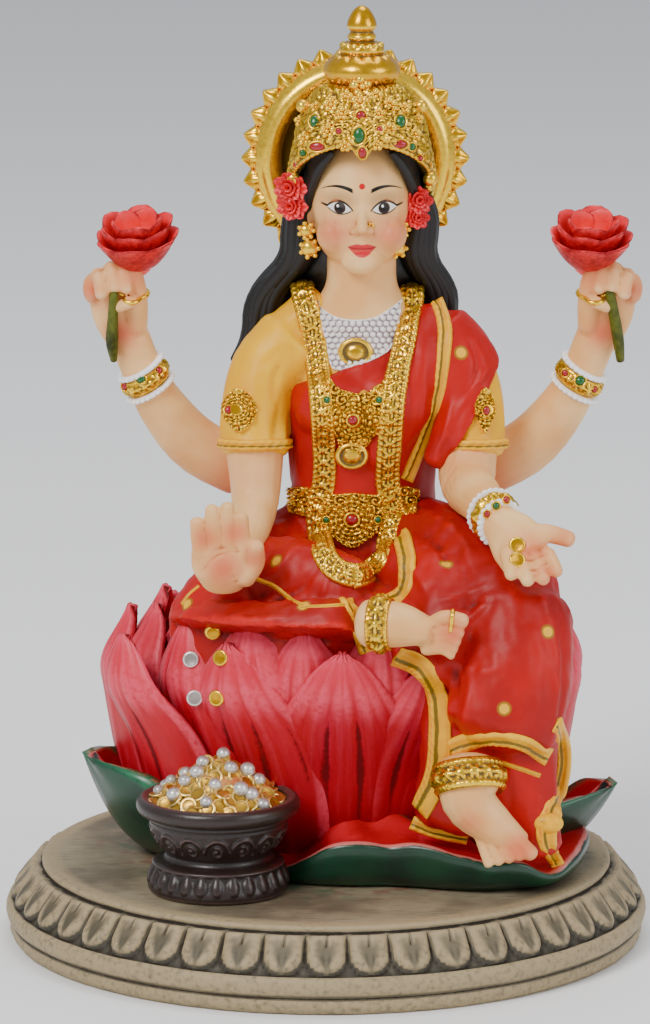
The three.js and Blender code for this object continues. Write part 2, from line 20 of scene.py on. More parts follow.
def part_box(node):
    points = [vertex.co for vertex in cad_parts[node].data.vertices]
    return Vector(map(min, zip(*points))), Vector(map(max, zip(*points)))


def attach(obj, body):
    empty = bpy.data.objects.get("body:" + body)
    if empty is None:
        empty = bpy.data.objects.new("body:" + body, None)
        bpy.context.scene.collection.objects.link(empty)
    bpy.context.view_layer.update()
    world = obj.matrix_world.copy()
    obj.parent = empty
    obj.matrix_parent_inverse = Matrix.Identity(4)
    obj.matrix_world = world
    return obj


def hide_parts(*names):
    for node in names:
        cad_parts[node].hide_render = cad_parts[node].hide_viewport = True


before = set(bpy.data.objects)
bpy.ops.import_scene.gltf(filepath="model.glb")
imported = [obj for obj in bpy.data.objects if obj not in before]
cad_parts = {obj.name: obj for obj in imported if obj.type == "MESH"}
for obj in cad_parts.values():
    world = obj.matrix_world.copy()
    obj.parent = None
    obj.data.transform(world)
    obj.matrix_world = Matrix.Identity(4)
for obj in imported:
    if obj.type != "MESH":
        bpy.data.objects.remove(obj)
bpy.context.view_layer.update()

# %% [markdown]
# Everything is drawn in millimetres, with heights counted from the top of the plinth's disc, and is put in
# its place in the frame at the very end. The sizes that fits depend on are read from the frame: the plinth,
# the pot and the figure's height. The figure's own carving is drawn on a grid 145.3 units tall, which are
# millimetres at its present size.

# %% Read the driving sizes
MM = 0.001
GRID_UNITS_TALL = 145.3

plinth_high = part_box("plinth")[1]
pot_low, pot_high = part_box("coin_pot")
figure_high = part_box("lakshmi_figure")[1]
PLINTH_TALL = plinth_high.z / MM
PLINTH_RADIUS = plinth_high.x / MM
FIGURE_TALL = (figure_high.z - plinth_high.z) / MM
GRID = FIGURE_TALL / GRID_UNITS_TALL
POT_X = (pot_low.x + pot_high.x) / 2 / MM
POT_Y = (pot_low.y + pot_high.y) / 2 / MM
POT_RADIUS = (pot_high.x - pot_low.x) / 2 / MM
LOTUS_AXIS = (3.4, 10.0)
print(f"plinth {2 * PLINTH_RADIUS:.1f} x {PLINTH_TALL:.1f} mm, figure {FIGURE_TALL:.1f} mm")
print(f"one unit of the figure's grid is {GRID:.3f} mm")

# %% [markdown]
# ## Tools for shapes
# A bmesh operator gives the starting shape, and numpy moves its points all at once, because a formula on a
# whole array is far quicker than a Python loop. A smooth line through a few chosen points serves for limbs,
# bands and carved strokes alike.

# %% Move many points at once
def fresh(*values, uv=False):
    """An empty shape whose points can carry the named values."""
    bm = bmesh.new()
    for name in values:
        bm.verts.layers.float.new(name)
    if uv:
        bm.loops.layers.uv.new("UVMap")
    return bm


def positions(verts):
    return np.array([vert.co for vert in verts], dtype=float).reshape(-1, 3)


def move_to(verts, places):
    for vert, place in zip(verts, places):
        vert.co = place


def faces_of(verts):
    return list({face for vert in verts for face in vert.link_faces})


def rim_of(verts):
    return list({edge for vert in verts for edge in vert.link_edges if edge.is_boundary})


def smooth_line(points, count):
    """Evenly spaced places on a smooth line through the points. Columns after x, y, z are carried along."""
    points = np.asarray(points, float)
    steps = np.linalg.norm(np.diff(points[:, :3], axis=0), axis=1)
    knots = np.concatenate([[0], np.cumsum(np.maximum(steps, 1e-6))])
    slopes = np.gradient(points, knots, axis=0)
    where = np.linspace(0, knots[-1], count)
    left = np.clip(np.searchsorted(knots, where, side="right") - 1, 0, len(knots) - 2)
    span = (knots[left + 1] - knots[left])[:, None]
    t = (where[:, None] - knots[left][:, None]) / span
    ahead = t * t * (3 - 2 * t)
    return (
        points[left] * (1 - ahead)
        + points[left + 1] * ahead
        + slopes[left] * span * (t * (1 - t) ** 2)
        + slopes[left + 1] * span * (t * t * (t - 1))
    )


def ease(value, low, high):
    """0 below low, 1 above high, and a soft step between."""
    t = np.clip((value - low) / (high - low), 0, 1)
    return t * t * (3 - 2 * t)


def unit_rows(vectors):
    return vectors / np.maximum(np.linalg.norm(vectors, axis=-1, keepdims=True), 1e-9)


# %% [markdown]
# A limb is a UV sphere whose rings are threaded on a smooth line. Each ring takes its half width and half
# depth from the stations, and the first and last rings close in a round cap. Arms, fingers, hair locks and
# folds of cloth all start this way.

# %% Thread a sphere on a line
def limb(bm, stations, sides=16, rings=20, facing=(0, -1, 0), tip=0.55):
    """A round-ended limb through stations of x, y, z, half width and, where it differs, half depth."""
    CAP = 0.22
    rows = [station if len(station) == 5 else (*station, station[3]) for station in stations]
    count = 64
    line = smooth_line(rows, count)
    along = unit_rows(np.gradient(line[:, :3], axis=0))
    side = unit_rows(np.cross(along, np.asarray(facing, float)))
    depth = np.cross(side, along)
    ball = bmesh.ops.create_uvsphere(bm, u_segments=sides, v_segments=rings, radius=1)
    verts = ball["verts"]
    place = positions(verts)
    polar = np.arccos(np.clip(-place[:, 2], -1, 1)) / math.pi
    round_in = np.clip(np.minimum(polar, 1 - polar) / CAP, 0, 1) * math.pi / 2
    share = np.clip((polar - CAP) / (1 - 2 * CAP), 0, 1)
    at = np.clip(share * (count - 1), 0, count - 1.001)
    low = at.astype(int)
    mix = (at - low)[:, None]
    pick = lambda rows_of: rows_of[low] * (1 - mix) + rows_of[low + 1] * mix
    here = pick(line)
    around = np.arctan2(place[:, 1], place[:, 0])
    slim = np.sin(round_in)
    past = tip * np.where(polar < 0.5, -1, 1) * np.cos(round_in) * np.minimum(here[:, 3], here[:, 4])
    moved = (
        here[:, :3]
        + unit_rows(pick(along)) * past[:, None]
        + unit_rows(pick(side)) * (np.cos(around) * slim * here[:, 3])[:, None]
        + unit_rows(pick(depth)) * (np.sin(around) * slim * here[:, 4])[:, None]
    )
    move_to(verts, moved)
    return verts


def ball(bm, place, sizes, sides=20, rings=14):
    """An egg-shaped mass with the given half sizes."""
    made = bmesh.ops.create_uvsphere(bm, u_segments=sides, v_segments=rings, radius=1)
    bmesh.ops.scale(bm, vec=sizes, verts=made["verts"])
    bmesh.ops.translate(bm, vec=place, verts=made["verts"])
    return made["verts"]


# %% [markdown]
# Clay forms run into each other with no seam. The voxel Remesh modifier does that: it wraps all overlapping
# shapes in one even skin, and a few rounds of smoothing rub out its steps. The result comes back as a bmesh,
# ready to be carved.

# %% Melt shapes into one skin
def mesh_from(bm, name):
    mesh = bpy.data.meshes.new(name)
    bm.to_mesh(mesh)
    bm.free()
    return mesh


def melted(bm, voxel, rubbing):
    """The shapes of bm as one skin with cells of about one voxel, rubbed smooth."""
    bmesh.ops.recalc_face_normals(bm, faces=bm.faces)
    clay = bpy.data.objects.new("clay", mesh_from(bm, "clay"))
    bpy.context.scene.collection.objects.link(clay)
    melt = clay.modifiers.new("melt", "REMESH")
    melt.mode = "VOXEL"
    melt.voxel_size = voxel
    rub = clay.modifiers.new("rub", "SMOOTH")
    rub.factor = 0.5
    rub.iterations = rubbing
    graph = bpy.context.evaluated_depsgraph_get()
    skin = bmesh.new()
    skin.from_mesh(clay.evaluated_get(graph).to_mesh())
    bpy.data.objects.remove(clay, do_unlink=True)
    skin.normal_update()
    return skin


# %% [markdown]
# A stroke is one pass of the modelling tool. It follows a smooth line near the surface and pushes the points
# round it in or out along their normals: a small width gives a crease, a large one a soft fold. Strokes fade
# at both ends, as a hand lifts the tool.

# %% Carve with strokes
def carve(bm, strokes):
    """Each stroke is (points, width, depth): a depth above zero raises the skin, one below presses it in."""
    bm.normal_update()
    verts = list(bm.verts)
    places = positions(verts)
    normals = np.array([vert.normal for vert in verts])
    push = np.zeros(len(verts))
    for points, width, depth in strokes:
        line = smooth_line(points, 40)[:, :3]
        reach = 2.6 * width
        low, high = line.min(0) - reach, line.max(0) + reach
        near = np.where(np.all((places > low) & (places < high), axis=1))[0]
        if not len(near):
            continue
        gaps = np.linalg.norm(places[near][:, None, :] - line[None, :, :], axis=2)
        closest = gaps.argmin(1)
        fade = np.sin(math.pi * np.clip((closest + 1.5) / 42, 0, 1)) ** 0.6
        push[near] += depth * np.exp(-((gaps.min(1) / width) ** 2)) * fade
    move_to(verts, places + normals * push[:, None])


# %% [markdown]
# Jewellery, borders and bracelets are all bands: strips with a rounded section that lie along a line on the
# body. A band is a grid rolled into a flat tube, with its seam merged and its ends filled, so it is closed
# like the casting. Its front carries the relief, a height for every point given by its distance u along the
# band and v across it, both in millimetres.

# %% Lay a band along a line
def band(bm, points, outward, half_width, thick, relief, pitch, closed=False, crown=0.25):
    """points: the band's middle line. outward: the way its face looks, once or for each point."""
    points = np.asarray(points, float)
    steps = np.linalg.norm(np.diff(points, axis=0), axis=1)
    rows = max(4, int(steps.sum() / pitch))
    outward = np.broadcast_to(np.asarray(outward, float), points.shape)
    line = smooth_line(np.hstack([points, outward]), rows + 1)
    middle, out = line[:, :3], unit_rows(line[:, 3:6])
    if closed:
        along = unit_rows(np.roll(middle[:-1], -1, axis=0) - np.roll(middle[:-1], 1, axis=0))
        along = np.vstack([along, along[:1]])
    else:
        along = unit_rows(np.gradient(middle, axis=0))
    side = unit_rows(np.cross(along, out))
    out = np.cross(side, along)
    length = np.concatenate([[0], np.cumsum(np.linalg.norm(np.diff(middle, axis=0), axis=1))])
    share = length / length[-1]
    widths = half_width(share) if callable(half_width) else np.full(rows + 1, float(half_width))
    front = max(4, int(2 * widths.max() / pitch))
    BACK = 3
    across = front + BACK
    layer = bm.verts.layers.float["proud"]
    made = bmesh.ops.create_grid(bm, x_segments=across, y_segments=rows, size=0.5)["verts"]
    flat = positions(made) + 0.5
    column = np.rint(flat[:, 0] * across)
    row = np.rint(flat[:, 1] * rows).astype(int)
    on_front = column <= front
    a = np.where(on_front, 2 * column / front - 1, 1 - 2 * (column - front) / BACK)
    u = length[row]
    v = a * widths[row]
    lift = crown * (1 - a**2)
    if relief is not None:
        lift = lift + relief(u, v, np.abs(a)) * np.clip((1 - np.abs(a)) * 6, 0, 1)
    height = np.where(on_front, lift, -thick * np.sin(math.pi * np.clip((column - front) / BACK, 0, 1)))
    ends = np.ones(len(u)) if closed else np.clip(np.minimum(u, length[-1] - u) / (2 * pitch), 0.15, 1)
    height = np.where(on_front, height * ends, height)
    move_to(made, middle[row] + side[row] * v[:, None] + out[row] * height[:, None])
    stripes = bm.verts.layers.float.get("across")
    for vert, rise, place_across in zip(made, np.where(on_front, lift, 0), a):
        vert[layer] = rise
        if stripes:
            vert[stripes] = place_across
    bmesh.ops.remove_doubles(bm, verts=made, dist=1e-4)
    made = [vert for vert in made if vert.is_valid]
    rims = rim_of(made)
    if rims:
        bmesh.ops.holes_fill(bm, edges=rims, sides=0)
    return made


# %% [markdown]
# The relief itself is a handful of small height formulas for the goldsmith's stock: beads, rosettes and
# scrolls. Taking the highest of several lays one over the other, as wax parts are laid on a wax model.

# %% Heights for beads, rosettes and scrolls
def dome(distance, radius, rise):
    return rise * np.sqrt(np.clip(radius**2 - distance**2, 0, None))


def bead_row(u, v, spacing, radius, at=0.0, rise=1.0):
    along = (u / spacing - np.rint(u / spacing)) * spacing
    return dome(np.hypot(along, v - at), radius, rise)


def rosette(u, v, radius, petals, rise):
    """One rosette at the origin: rounded petals round a bead."""
    out = np.hypot(u, v)
    lobe = radius * (0.72 + 0.28 * np.cos(petals * np.arctan2(v, u)))
    leaf = rise * np.sqrt(np.clip(1 - ((out - 0.55 * lobe) / (0.45 * lobe)) ** 2, 0, None))
    return np.maximum(leaf, dome(out, 0.3 * radius, rise / (0.3 * radius) * 1.2))


def rosette_row(u, v, spacing, radius, petals, rise):
    along = (u / spacing - np.rint(u / spacing)) * spacing
    return rosette(along, v, radius, petals, rise)


def scroll(u, v, size, turns, thick, rise, hand=1):
    """A spiral tendril round the origin that opens out to the given size."""
    out = np.hypot(u, v)
    turn = hand * np.arctan2(v, u) / (2 * math.pi)
    coil = out / size * turns - turn
    gap = np.abs(coil - np.rint(coil)) * size / turns
    return rise * np.sqrt(np.clip(1 - (gap / thick) ** 2, 0, None)) * (out < size)


def filigree(u, v, size, rise):
    """Florets, curled tendrils and beads in staggered cells, as on cast crowns and clasps."""
    row = np.rint(v / (0.87 * size))
    shift = np.where(row % 2 == 0, 0, 0.5 * size)
    column = np.rint((u - shift) / size)
    du, dv = u - shift - column * size, v - row * 0.87 * size
    kind = (column * 7 + row * 13) % 3
    curl = scroll(du * np.where((column + row) % 2 == 0, 1, -1), dv, 0.56 * size, 1.3, 0.17 * size, rise)
    bead = dome(np.hypot(du, dv), 0.3 * size, rise / (0.3 * size))
    return np.select([kind == 0, kind == 1], [rosette(du, dv, 0.52 * size, 5, rise), curl],
                     np.maximum(0.7 * curl, bead))


# %% [markdown]
# The painter washes thin brown over carved gold and wipes it off, so it stays in the hollows. Every paint
# here darkens its hollows the same way, and that darkening is painted shade as well as wash. For that each
# point must know whether it lies in a hollow. A copy of the surface is smoothed, and how far the true point
# lies below it, measured along the normal, is kept as the attribute "hollow", in tenths of a millimetre.

# %% Finish a piece
def mark_hollows(mesh, rounds):
    count = len(mesh.vertices)
    places = np.zeros(count * 3)
    mesh.vertices.foreach_get("co", places)
    places = places.reshape(-1, 3)
    normals = np.zeros(count * 3)
    mesh.vertices.foreach_get("normal", normals)
    normals = normals.reshape(-1, 3)
    edges = np.zeros(len(mesh.edges) * 2, dtype=int)
    mesh.edges.foreach_get("vertices", edges)
    a, b = edges.reshape(-1, 2).T
    degree = np.maximum(np.bincount(a, minlength=count) + np.bincount(b, minlength=count), 1)
    soft = places.copy()
    for _ in range(rounds):
        total = np.zeros_like(soft)
        for axis in range(3):
            total[:, axis] = np.bincount(a, soft[b, axis], count) + np.bincount(b, soft[a, axis], count)
        soft = 0.4 * soft + 0.6 * total / degree[:, None]
    depth = ((soft - places) * normals).sum(1) / MM * 10
    mesh.attributes.new("hollow", "FLOAT", "POINT").data.foreach_set("value", depth.astype(np.float32))


def finished(bm, name, material, node="lakshmi_figure", rounds=6):
    """Puts a shape drawn in millimetres in its place in the frame, and makes it a piece that rides there."""
    tall = GRID if node == "lakshmi_figure" else 1
    bmesh.ops.scale(bm, vec=(tall * MM, tall * MM, tall * MM), verts=bm.verts)
    bmesh.ops.translate(bm, vec=(0, 0, plinth_high.z), verts=bm.verts)
    mesh = mesh_from(bm, name)
    mesh.shade_smooth()
    mark_hollows(mesh, rounds)
    for paint in material if isinstance(material, list) else [material]:
        mesh.materials.append(paint)
    piece = bpy.data.objects.new(name, mesh)
    bpy.context.scene.collection.objects.link(piece)
    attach(piece, "root")
    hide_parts(node)
    mesh.calc_loop_triangles()
    print(f"{name}: {len(mesh.loop_triangles)} triangles")
    return piece

# %% [markdown]
# ## Paint
# Every paint here is the same idea with other values: a body colour that is never quite even, a dark colour
# in the hollows, which is the painter's wash and painted shade together, and a lighter colour on what stands
# proud, which is dry-brushing and a painted highlight together. So it is one node group, built once, which
# puts out a colour, a roughness, a height for the bump and the mask of the wash and shade. The shader itself
# stays in each material. Patterns are measured in Object coordinates, so they sit still.

# %% Wire nodes with few words
def tone(code):
    """A paint colour written as six hex digits, as the linear values that shaders work with."""
    parts = [int(code[i : i + 2], 16) / 255 for i in (0, 2, 4)]
    return (*[part / 12.92 if part < 0.04045 else ((part + 0.055) / 1.055) ** 2.4 for part in parts], 1)


def joined_to(tree, socket, value):
    if isinstance(value, bpy.types.NodeSocket):
        tree.links.new(value, socket)
    else:
        socket.default_value = value


def maths(tree, operation, *values, clamp=False):
    made = tree.nodes.new("ShaderNodeMath")
    made.operation = operation
    made.use_clamp = clamp
    for socket, value in zip(made.inputs, values):
        joined_to(tree, socket, value)
    return made.outputs[0]


def blend(tree, factor, below, above):
    made = tree.nodes.new("ShaderNodeMix")
    made.data_type = "RGBA"
    joined_to(tree, made.inputs[0], factor)
    joined_to(tree, made.inputs[6], below)
    joined_to(tree, made.inputs[7], above)
    return made.outputs[2]


def fade(tree, value, low, high, start=0.0, end=1.0):
    made = tree.nodes.new("ShaderNodeMapRange")
    made.interpolation_type = "SMOOTHSTEP"
    for socket, given in zip(made.inputs, (value, low, high, start, end)):
        joined_to(tree, socket, given)
    return made.outputs[0]


def object_place(tree):
    return tree.nodes.new("ShaderNodeTexCoord").outputs["Object"]


def cloud(tree, place, scale, detail=2.0, stretch=None):
    """Noise whose patches are about 1/scale metres across."""
    if stretch:
        mapping = tree.nodes.new("ShaderNodeMapping")
        tree.links.new(place, mapping.inputs["Vector"])
        mapping.inputs["Scale"].default_value = stretch
        place = mapping.outputs[0]
    made = tree.nodes.new("ShaderNodeTexNoise")
    tree.links.new(place, made.inputs["Vector"])
    made.inputs["Scale"].default_value = scale
    made.inputs["Detail"].default_value = detail
    return made.outputs[0]


def kept(tree, name):
    """The attribute of that name, as a number."""
    made = tree.nodes.new("ShaderNodeAttribute")
    made.attribute_name = name
    return made.outputs["Fac"]


# %% Build the paint coat, with painted shade in hollows and a painted highlight on proud parts
def build_coat():
    group = bpy.data.node_groups.new("hand painted coat", "ShaderNodeTree")
    numbers = {"Wash And Shade Depth": 1.0, "Edge Height": 1.0, "Mottle": 0.1, "Roughness": 0.4, "Spread": 0.1}
    for name in ("Body", "Wash And Shade", "Edge"):
        group.interface.new_socket(name=name, in_out="INPUT", socket_type="NodeSocketColor")
    for name, value in numbers.items():
        socket = group.interface.new_socket(name=name, in_out="INPUT", socket_type="NodeSocketFloat")
        socket.default_value = value
    group.interface.new_socket(name="Color", in_out="OUTPUT", socket_type="NodeSocketColor")
    for name in ("Roughness", "Height", "Wash And Shade Mask"):
        group.interface.new_socket(name=name, in_out="OUTPUT", socket_type="NodeSocketFloat")
    given = group.nodes.new("NodeGroupInput").outputs
    result = group.nodes.new("NodeGroupOutput").inputs
    place = object_place(group)
    broad = cloud(group, place, 160)
    fine = cloud(group, place, 1100, 3)
    grit = cloud(group, place, 4200)
    hollow = kept(group, "hollow")
    # Darker in the hollows: the painter's wash, and painted shade as well.
    ragged = maths(group, "MULTIPLY_ADD", maths(group, "SUBTRACT", fine, 0.5), given["Wash And Shade Depth"], hollow)
    start = maths(group, "MULTIPLY", given["Wash And Shade Depth"], 0.12)
    wash_and_shade = fade(group, ragged, start, given["Wash And Shade Depth"])
    # Lighter on what stands proud: dry-brushing, and a painted highlight as well.
    proud = maths(group, "MULTIPLY", hollow, -1.0)
    edge = fade(group, proud, maths(group, "MULTIPLY", given["Edge Height"], 0.15), given["Edge Height"])
    edge = maths(group, "MULTIPLY", edge, fade(group, fine, 0.2, 0.6, 0.35, 1.0))
    uneven = maths(group, "MULTIPLY_ADD", maths(group, "SUBTRACT", broad, 0.5), 2.0, 0.0)
    uneven = maths(group, "MULTIPLY_ADD", maths(group, "SUBTRACT", fine, 0.5), 0.7, uneven)
    strength = maths(group, "MULTIPLY_ADD", uneven, given["Mottle"], 1.0)
    scaled = group.nodes.new("ShaderNodeVectorMath")
    scaled.operation = "SCALE"
    group.links.new(given["Body"], scaled.inputs[0])
    group.links.new(strength, scaled.inputs["Scale"])
    colour = blend(group, edge, scaled.outputs[0], given["Edge"])
    group.links.new(blend(group, wash_and_shade, colour, given["Wash And Shade"]), result["Color"])
    dulled = maths(group, "MULTIPLY_ADD", wash_and_shade, 0.2, given["Roughness"])
    ripple = maths(group, "MULTIPLY_ADD", maths(group, "SUBTRACT", fine, 0.5), given["Spread"], dulled)
    group.links.new(ripple, result["Roughness"])
    group.links.new(maths(group, "MULTIPLY_ADD", grit, 0.4, fine), result["Height"])
    group.links.new(wash_and_shade, result["Wash And Shade Mask"])
    return group


coat_group = build_coat()


def painted(name, body, wash_and_shade, edge, *, wash_and_shade_depth, edge_height, mottle, roughness, spread=0.12,
            metallic=0.0, gloss=0.0, bump=0.15, glow=0.0):
    """A paint. body is a colour, or a function that builds one in the material's node tree."""
    paint = bpy.data.materials.new(name)
    paint.use_nodes = True
    tree = paint.node_tree
    shader = tree.nodes["Principled BSDF"]
    coat = tree.nodes.new("ShaderNodeGroup")
    coat.node_tree = coat_group
    # The wash colour goes in the hollows, where it is painted shade too; the edge colour goes on proud parts,
    # where it is a painted highlight too.
    colours = {"Body": body(tree) if callable(body) else body, "Wash And Shade": wash_and_shade, "Edge": edge}
    numbers = {"Wash And Shade Depth": wash_and_shade_depth, "Edge Height": edge_height, "Mottle": mottle,
               "Roughness": roughness,
               "Spread": spread}
    for socket, value in {**colours, **numbers}.items():
        joined_to(tree, coat.inputs[socket], value)
    tree.links.new(coat.outputs["Color"], shader.inputs["Base Color"])
    tree.links.new(coat.outputs["Roughness"], shader.inputs["Roughness"])
    relief = tree.nodes.new("ShaderNodeBump")
    relief.inputs["Strength"].default_value = bump
    relief.inputs["Distance"].default_value = 0.0002
    tree.links.new(coat.outputs["Height"], relief.inputs["Height"])
    tree.links.new(relief.outputs[0], shader.inputs["Normal"])
    if metallic:
        bare = fade(tree, coat.outputs["Wash And Shade Mask"], 0.0, 1.0, metallic, 0.1)
        tree.links.new(bare, shader.inputs["Metallic"])
    shader.inputs["Specular IOR Level"].default_value = 0.5 if metallic or gloss else 0.3
    shader.inputs["Coat Weight"].default_value = gloss
    shader.inputs["Coat Roughness"].default_value = 0.25
    shader.inputs["Subsurface Weight"].default_value = glow
    shader.inputs["Subsurface Radius"].default_value = (0.0012, 0.0006, 0.0003)
    return paint


# Gold's dark brown wash in its hollows is also painted shade, and its pale edge colour is a painted
# highlight.
gold_paint = painted("gold paint", tone("D89E0C"), tone("5C4608"), tone("FFD23C"), wash_and_shade_depth=1.5,
                     edge_height=1.0, mottle=0.16, roughness=0.25, metallic=0.9)
print("paint group holds", len(coat_group.nodes), "nodes")

# %% [markdown]
# Lines on the front of the figure are drawn as the camera sees it: x and z on the upright sheet that stands
# 20 mm in front of the plinth's middle. Each point is then thrown along the line of sight until it meets the
# surface, so a necklace drawn flat drapes itself over the breast.

# %% Throw a drawing onto a surface
SHEET_Y = -20.0
VIEWPOINT = Vector((-0.17, -900.0, 232.9))


def surface_of(*pieces):
    """A tree for ray casts onto finished pieces, in the drawing's millimetres."""
    bm = bmesh.new()
    for piece in pieces:
        bm.from_mesh(piece.data)
    bmesh.ops.translate(bm, vec=(0, 0, -plinth_high.z), verts=bm.verts)
    unit = 1 / (MM * GRID)
    bmesh.ops.scale(bm, vec=(unit, unit, unit), verts=bm.verts)
    tree = BVHTree.FromBMesh(bm)
    bm.free()
    return tree


def thrown(tree, x, z, back=60.0):
    """Where the line of sight through (x, z) on the sheet meets the surface, and the way it faces there.
    A line that misses, or that would go further than back, ends there and faces the front."""
    way = (Vector((x, SHEET_Y, z)) - VIEWPOINT).normalized()
    place, normal, _, _ = tree.ray_cast(VIEWPOINT, way)
    if place is None or place.y > back:
        stop = min(back, 12.0)
        return VIEWPOINT + way * ((stop - VIEWPOINT.y) / way.y), Vector((0, -1, 0))
    if normal.dot(way) > 0:
        normal = -normal
    return place, normal


def laid(tree, points, count, lift=0.0, steady=0.35, back=60.0):
    """A smooth line through (x, z) points on the sheet, laid on the surface: its places and outward ways."""
    flat = smooth_line([(x, z, 0) for x, z in points], count)
    hits = [thrown(tree, x, z, back) for x, z, _ in flat]
    front = Vector((0, -1, 0.15)).normalized()
    places = np.array([tuple(place) for place, _ in hits])
    ways = unit_rows(np.array([tuple(normal * (1 - steady) + front * steady) for _, normal in hits]))
    for _ in range(2):
        ways[1:-1] = unit_rows(ways[:-2] + 2 * ways[1:-1] + ways[2:])
        places[1:-1] = 0.25 * places[:-2] + 0.5 * places[1:-1] + 0.25 * places[2:]
    return places + ways * lift, ways


def patch(bm, tree, top, bottom, relief, *, lift, across, down, back, sink=0.8):
    """A plate on the surface between two lines of sheet points, with relief, closed down to the surface."""
    above = smooth_line([(x, z, 0) for x, z in top], across + 1)
    below = smooth_line([(x, z, 0) for x, z in bottom], across + 1)
    made = bmesh.ops.create_grid(bm, x_segments=across, y_segments=down, size=0.5)["verts"]
    flat = positions(made) + 0.5
    column = np.rint(flat[:, 0] * across).astype(int)
    v = flat[:, 1]
    sheet = above[column] * v[:, None] + below[column] * (1 - v)[:, None]
    hits = [thrown(tree, x, z, back) for x, z, _ in sheet]
    front = Vector((0, -1, 0.15)).normalized()
    ways = unit_rows(np.array([tuple(normal * 0.6 + front * 0.4) for _, normal in hits]))
    rim = np.minimum.reduce([v, 1 - v, flat[:, 0], 1 - flat[:, 0]]) < 1e-4
    height = np.where(rim, -sink, lift + relief(sheet[:, 0], sheet[:, 1]))
    move_to(made, np.array([tuple(place) for place, _ in hits]) + ways * height[:, None])
    layer = bm.verts.layers.float["proud"]
    for vert, rise in zip(made, height - lift):
        vert[layer] = rise
    bmesh.ops.holes_fill(bm, edges=rim_of(made), sides=0)
    bmesh.ops.recalc_face_normals(bm, faces=faces_of(made))
    return made


def ring_on(tree, centre, axis, lift, count=40):
    """A closed line round a limb where a plane through centre cuts it, and the ways that face outward."""
    axis = Vector(axis).normalized()
    side = axis.orthogonal().normalized()
    other = axis.cross(side)
    places, ways = [], []
    for i in range(count + 1):
        turn = 2 * math.pi * (i % count) / count
        way = side * math.cos(turn) + other * math.sin(turn)
        hit = tree.ray_cast(Vector(centre), way, 16)[0]
        reach = (hit - Vector(centre)).length if hit else 5.0
        places.append(reach + lift)
        ways.append(tuple(way))
    reach = np.minimum(places, 1.3 * np.median(places))
    reach[:-1] = (np.roll(reach[:-1], 1) + 2 * reach[:-1] + np.roll(reach[:-1], -1)) / 4
    reach[-1] = reach[0]
    ways = np.array(ways)
    return np.array(centre) + ways * reach[:, None], ways


def set_stone(mounts, stones, place, way, half_wide, half_tall, colour):
    """A domed stone in a raised collar. mounts takes the collar, stones the dome."""
    out = Vector(way).normalized()
    aside = Vector((0, 0, 1)).cross(out).normalized()
    facing = Matrix((aside, out.cross(aside), out)).transposed()
    size = Matrix.Diagonal((half_wide, half_tall, min(half_wide, half_tall)))
    for bm, profile in ((mounts, [(0, -0.5), (1.25, -0.5), (1.42, 0.1), (1.3, 0.4), (1.1, 0.45),
                                  (0.95, 0.2), (0, 0.1)]),
                        (stones, [(0, 0), (1, 0.05), (0.95, 0.4), (0.7, 0.65), (0.35, 0.78), (0, 0.8)])):
        verts = turned(bm, profile, 20)
        move_to(verts, [facing @ (size @ vert.co) + Vector(place) for vert in verts])
        if bm is stones:
            layer = bm.verts.layers.float["shade"]
            for vert in verts:
                vert[layer] = colour


def wreath(bm, tree, centre, axis, half_width, relief, lift, thick=0.9, pitch=0.3, crown=0.25):
    """A closed band round a limb."""
    places, ways = ring_on(tree, centre, axis, lift)
    band(bm, places, ways, half_width, thick, relief, pitch=pitch, closed=True, crown=crown)


def flower_petal(bm, base, axis, turn, foot, reach, rise, half, cup, ruffle, lay, thick):
    """A petal of a flower that opens along axis: it starts foot from the axis and its tip is reach away.
    It is a flattened sphere, laid on the petal's own curved surface, so it is closed and round-edged."""
    axis = Vector(axis).normalized()
    side = axis.orthogonal().normalized()
    radial = side * math.cos(turn) + axis.cross(side) * math.sin(turn)
    tangent = axis.cross(radial)

    def surface(a, v):
        out = foot + (reach - foot) * v**lay - cup * a**2
        up = rise * (1 - (1 - v) ** 1.5) + ruffle * np.sin(9 * a + 7 * turn) * v
        return np.array(base) + np.outer(out, radial) + np.outer(a * half, tangent) + np.outer(up, axis)

    made = bmesh.ops.create_uvsphere(bm, u_segments=16, v_segments=10, radius=1)["verts"]
    flat = positions(made)
    a, v = flat[:, 0] * (1 - 0.25 * flat[:, 2] ** 2), 0.01 + 0.98 * (flat[:, 2] + 1) / 2
    step = 0.01
    across = surface(a + step, v) - surface(a - step, v)
    along = surface(a, v + step) - surface(a, v - step)
    move_to(made, surface(a, v) + unit_rows(np.cross(across, along)) * (flat[:, 1] * thick / 2)[:, None])
    layer = bm.verts.layers.float["shade"]
    for vert, value in zip(made, v):
        vert[layer] = value
    bmesh.ops.recalc_face_normals(bm, faces=faces_of(made))

# %% [markdown]
# ## The plinth
# The real plinth is a flat round casting: a rough foot, a plain bulging band, a ring of 46 tongues that slope
# inwards, and a disc with a rolled edge. It could be turned on a lathe but for the tongues. So its profile is
# spun round the axis with the spin operator, sixteen steps to a tongue, and the tongues are carved into the
# sloping stretch: round at the lower end, parted by narrow grooves, with a short slit at the head. The steps
# crowd together at the grooves and the slits, where the form turns most.

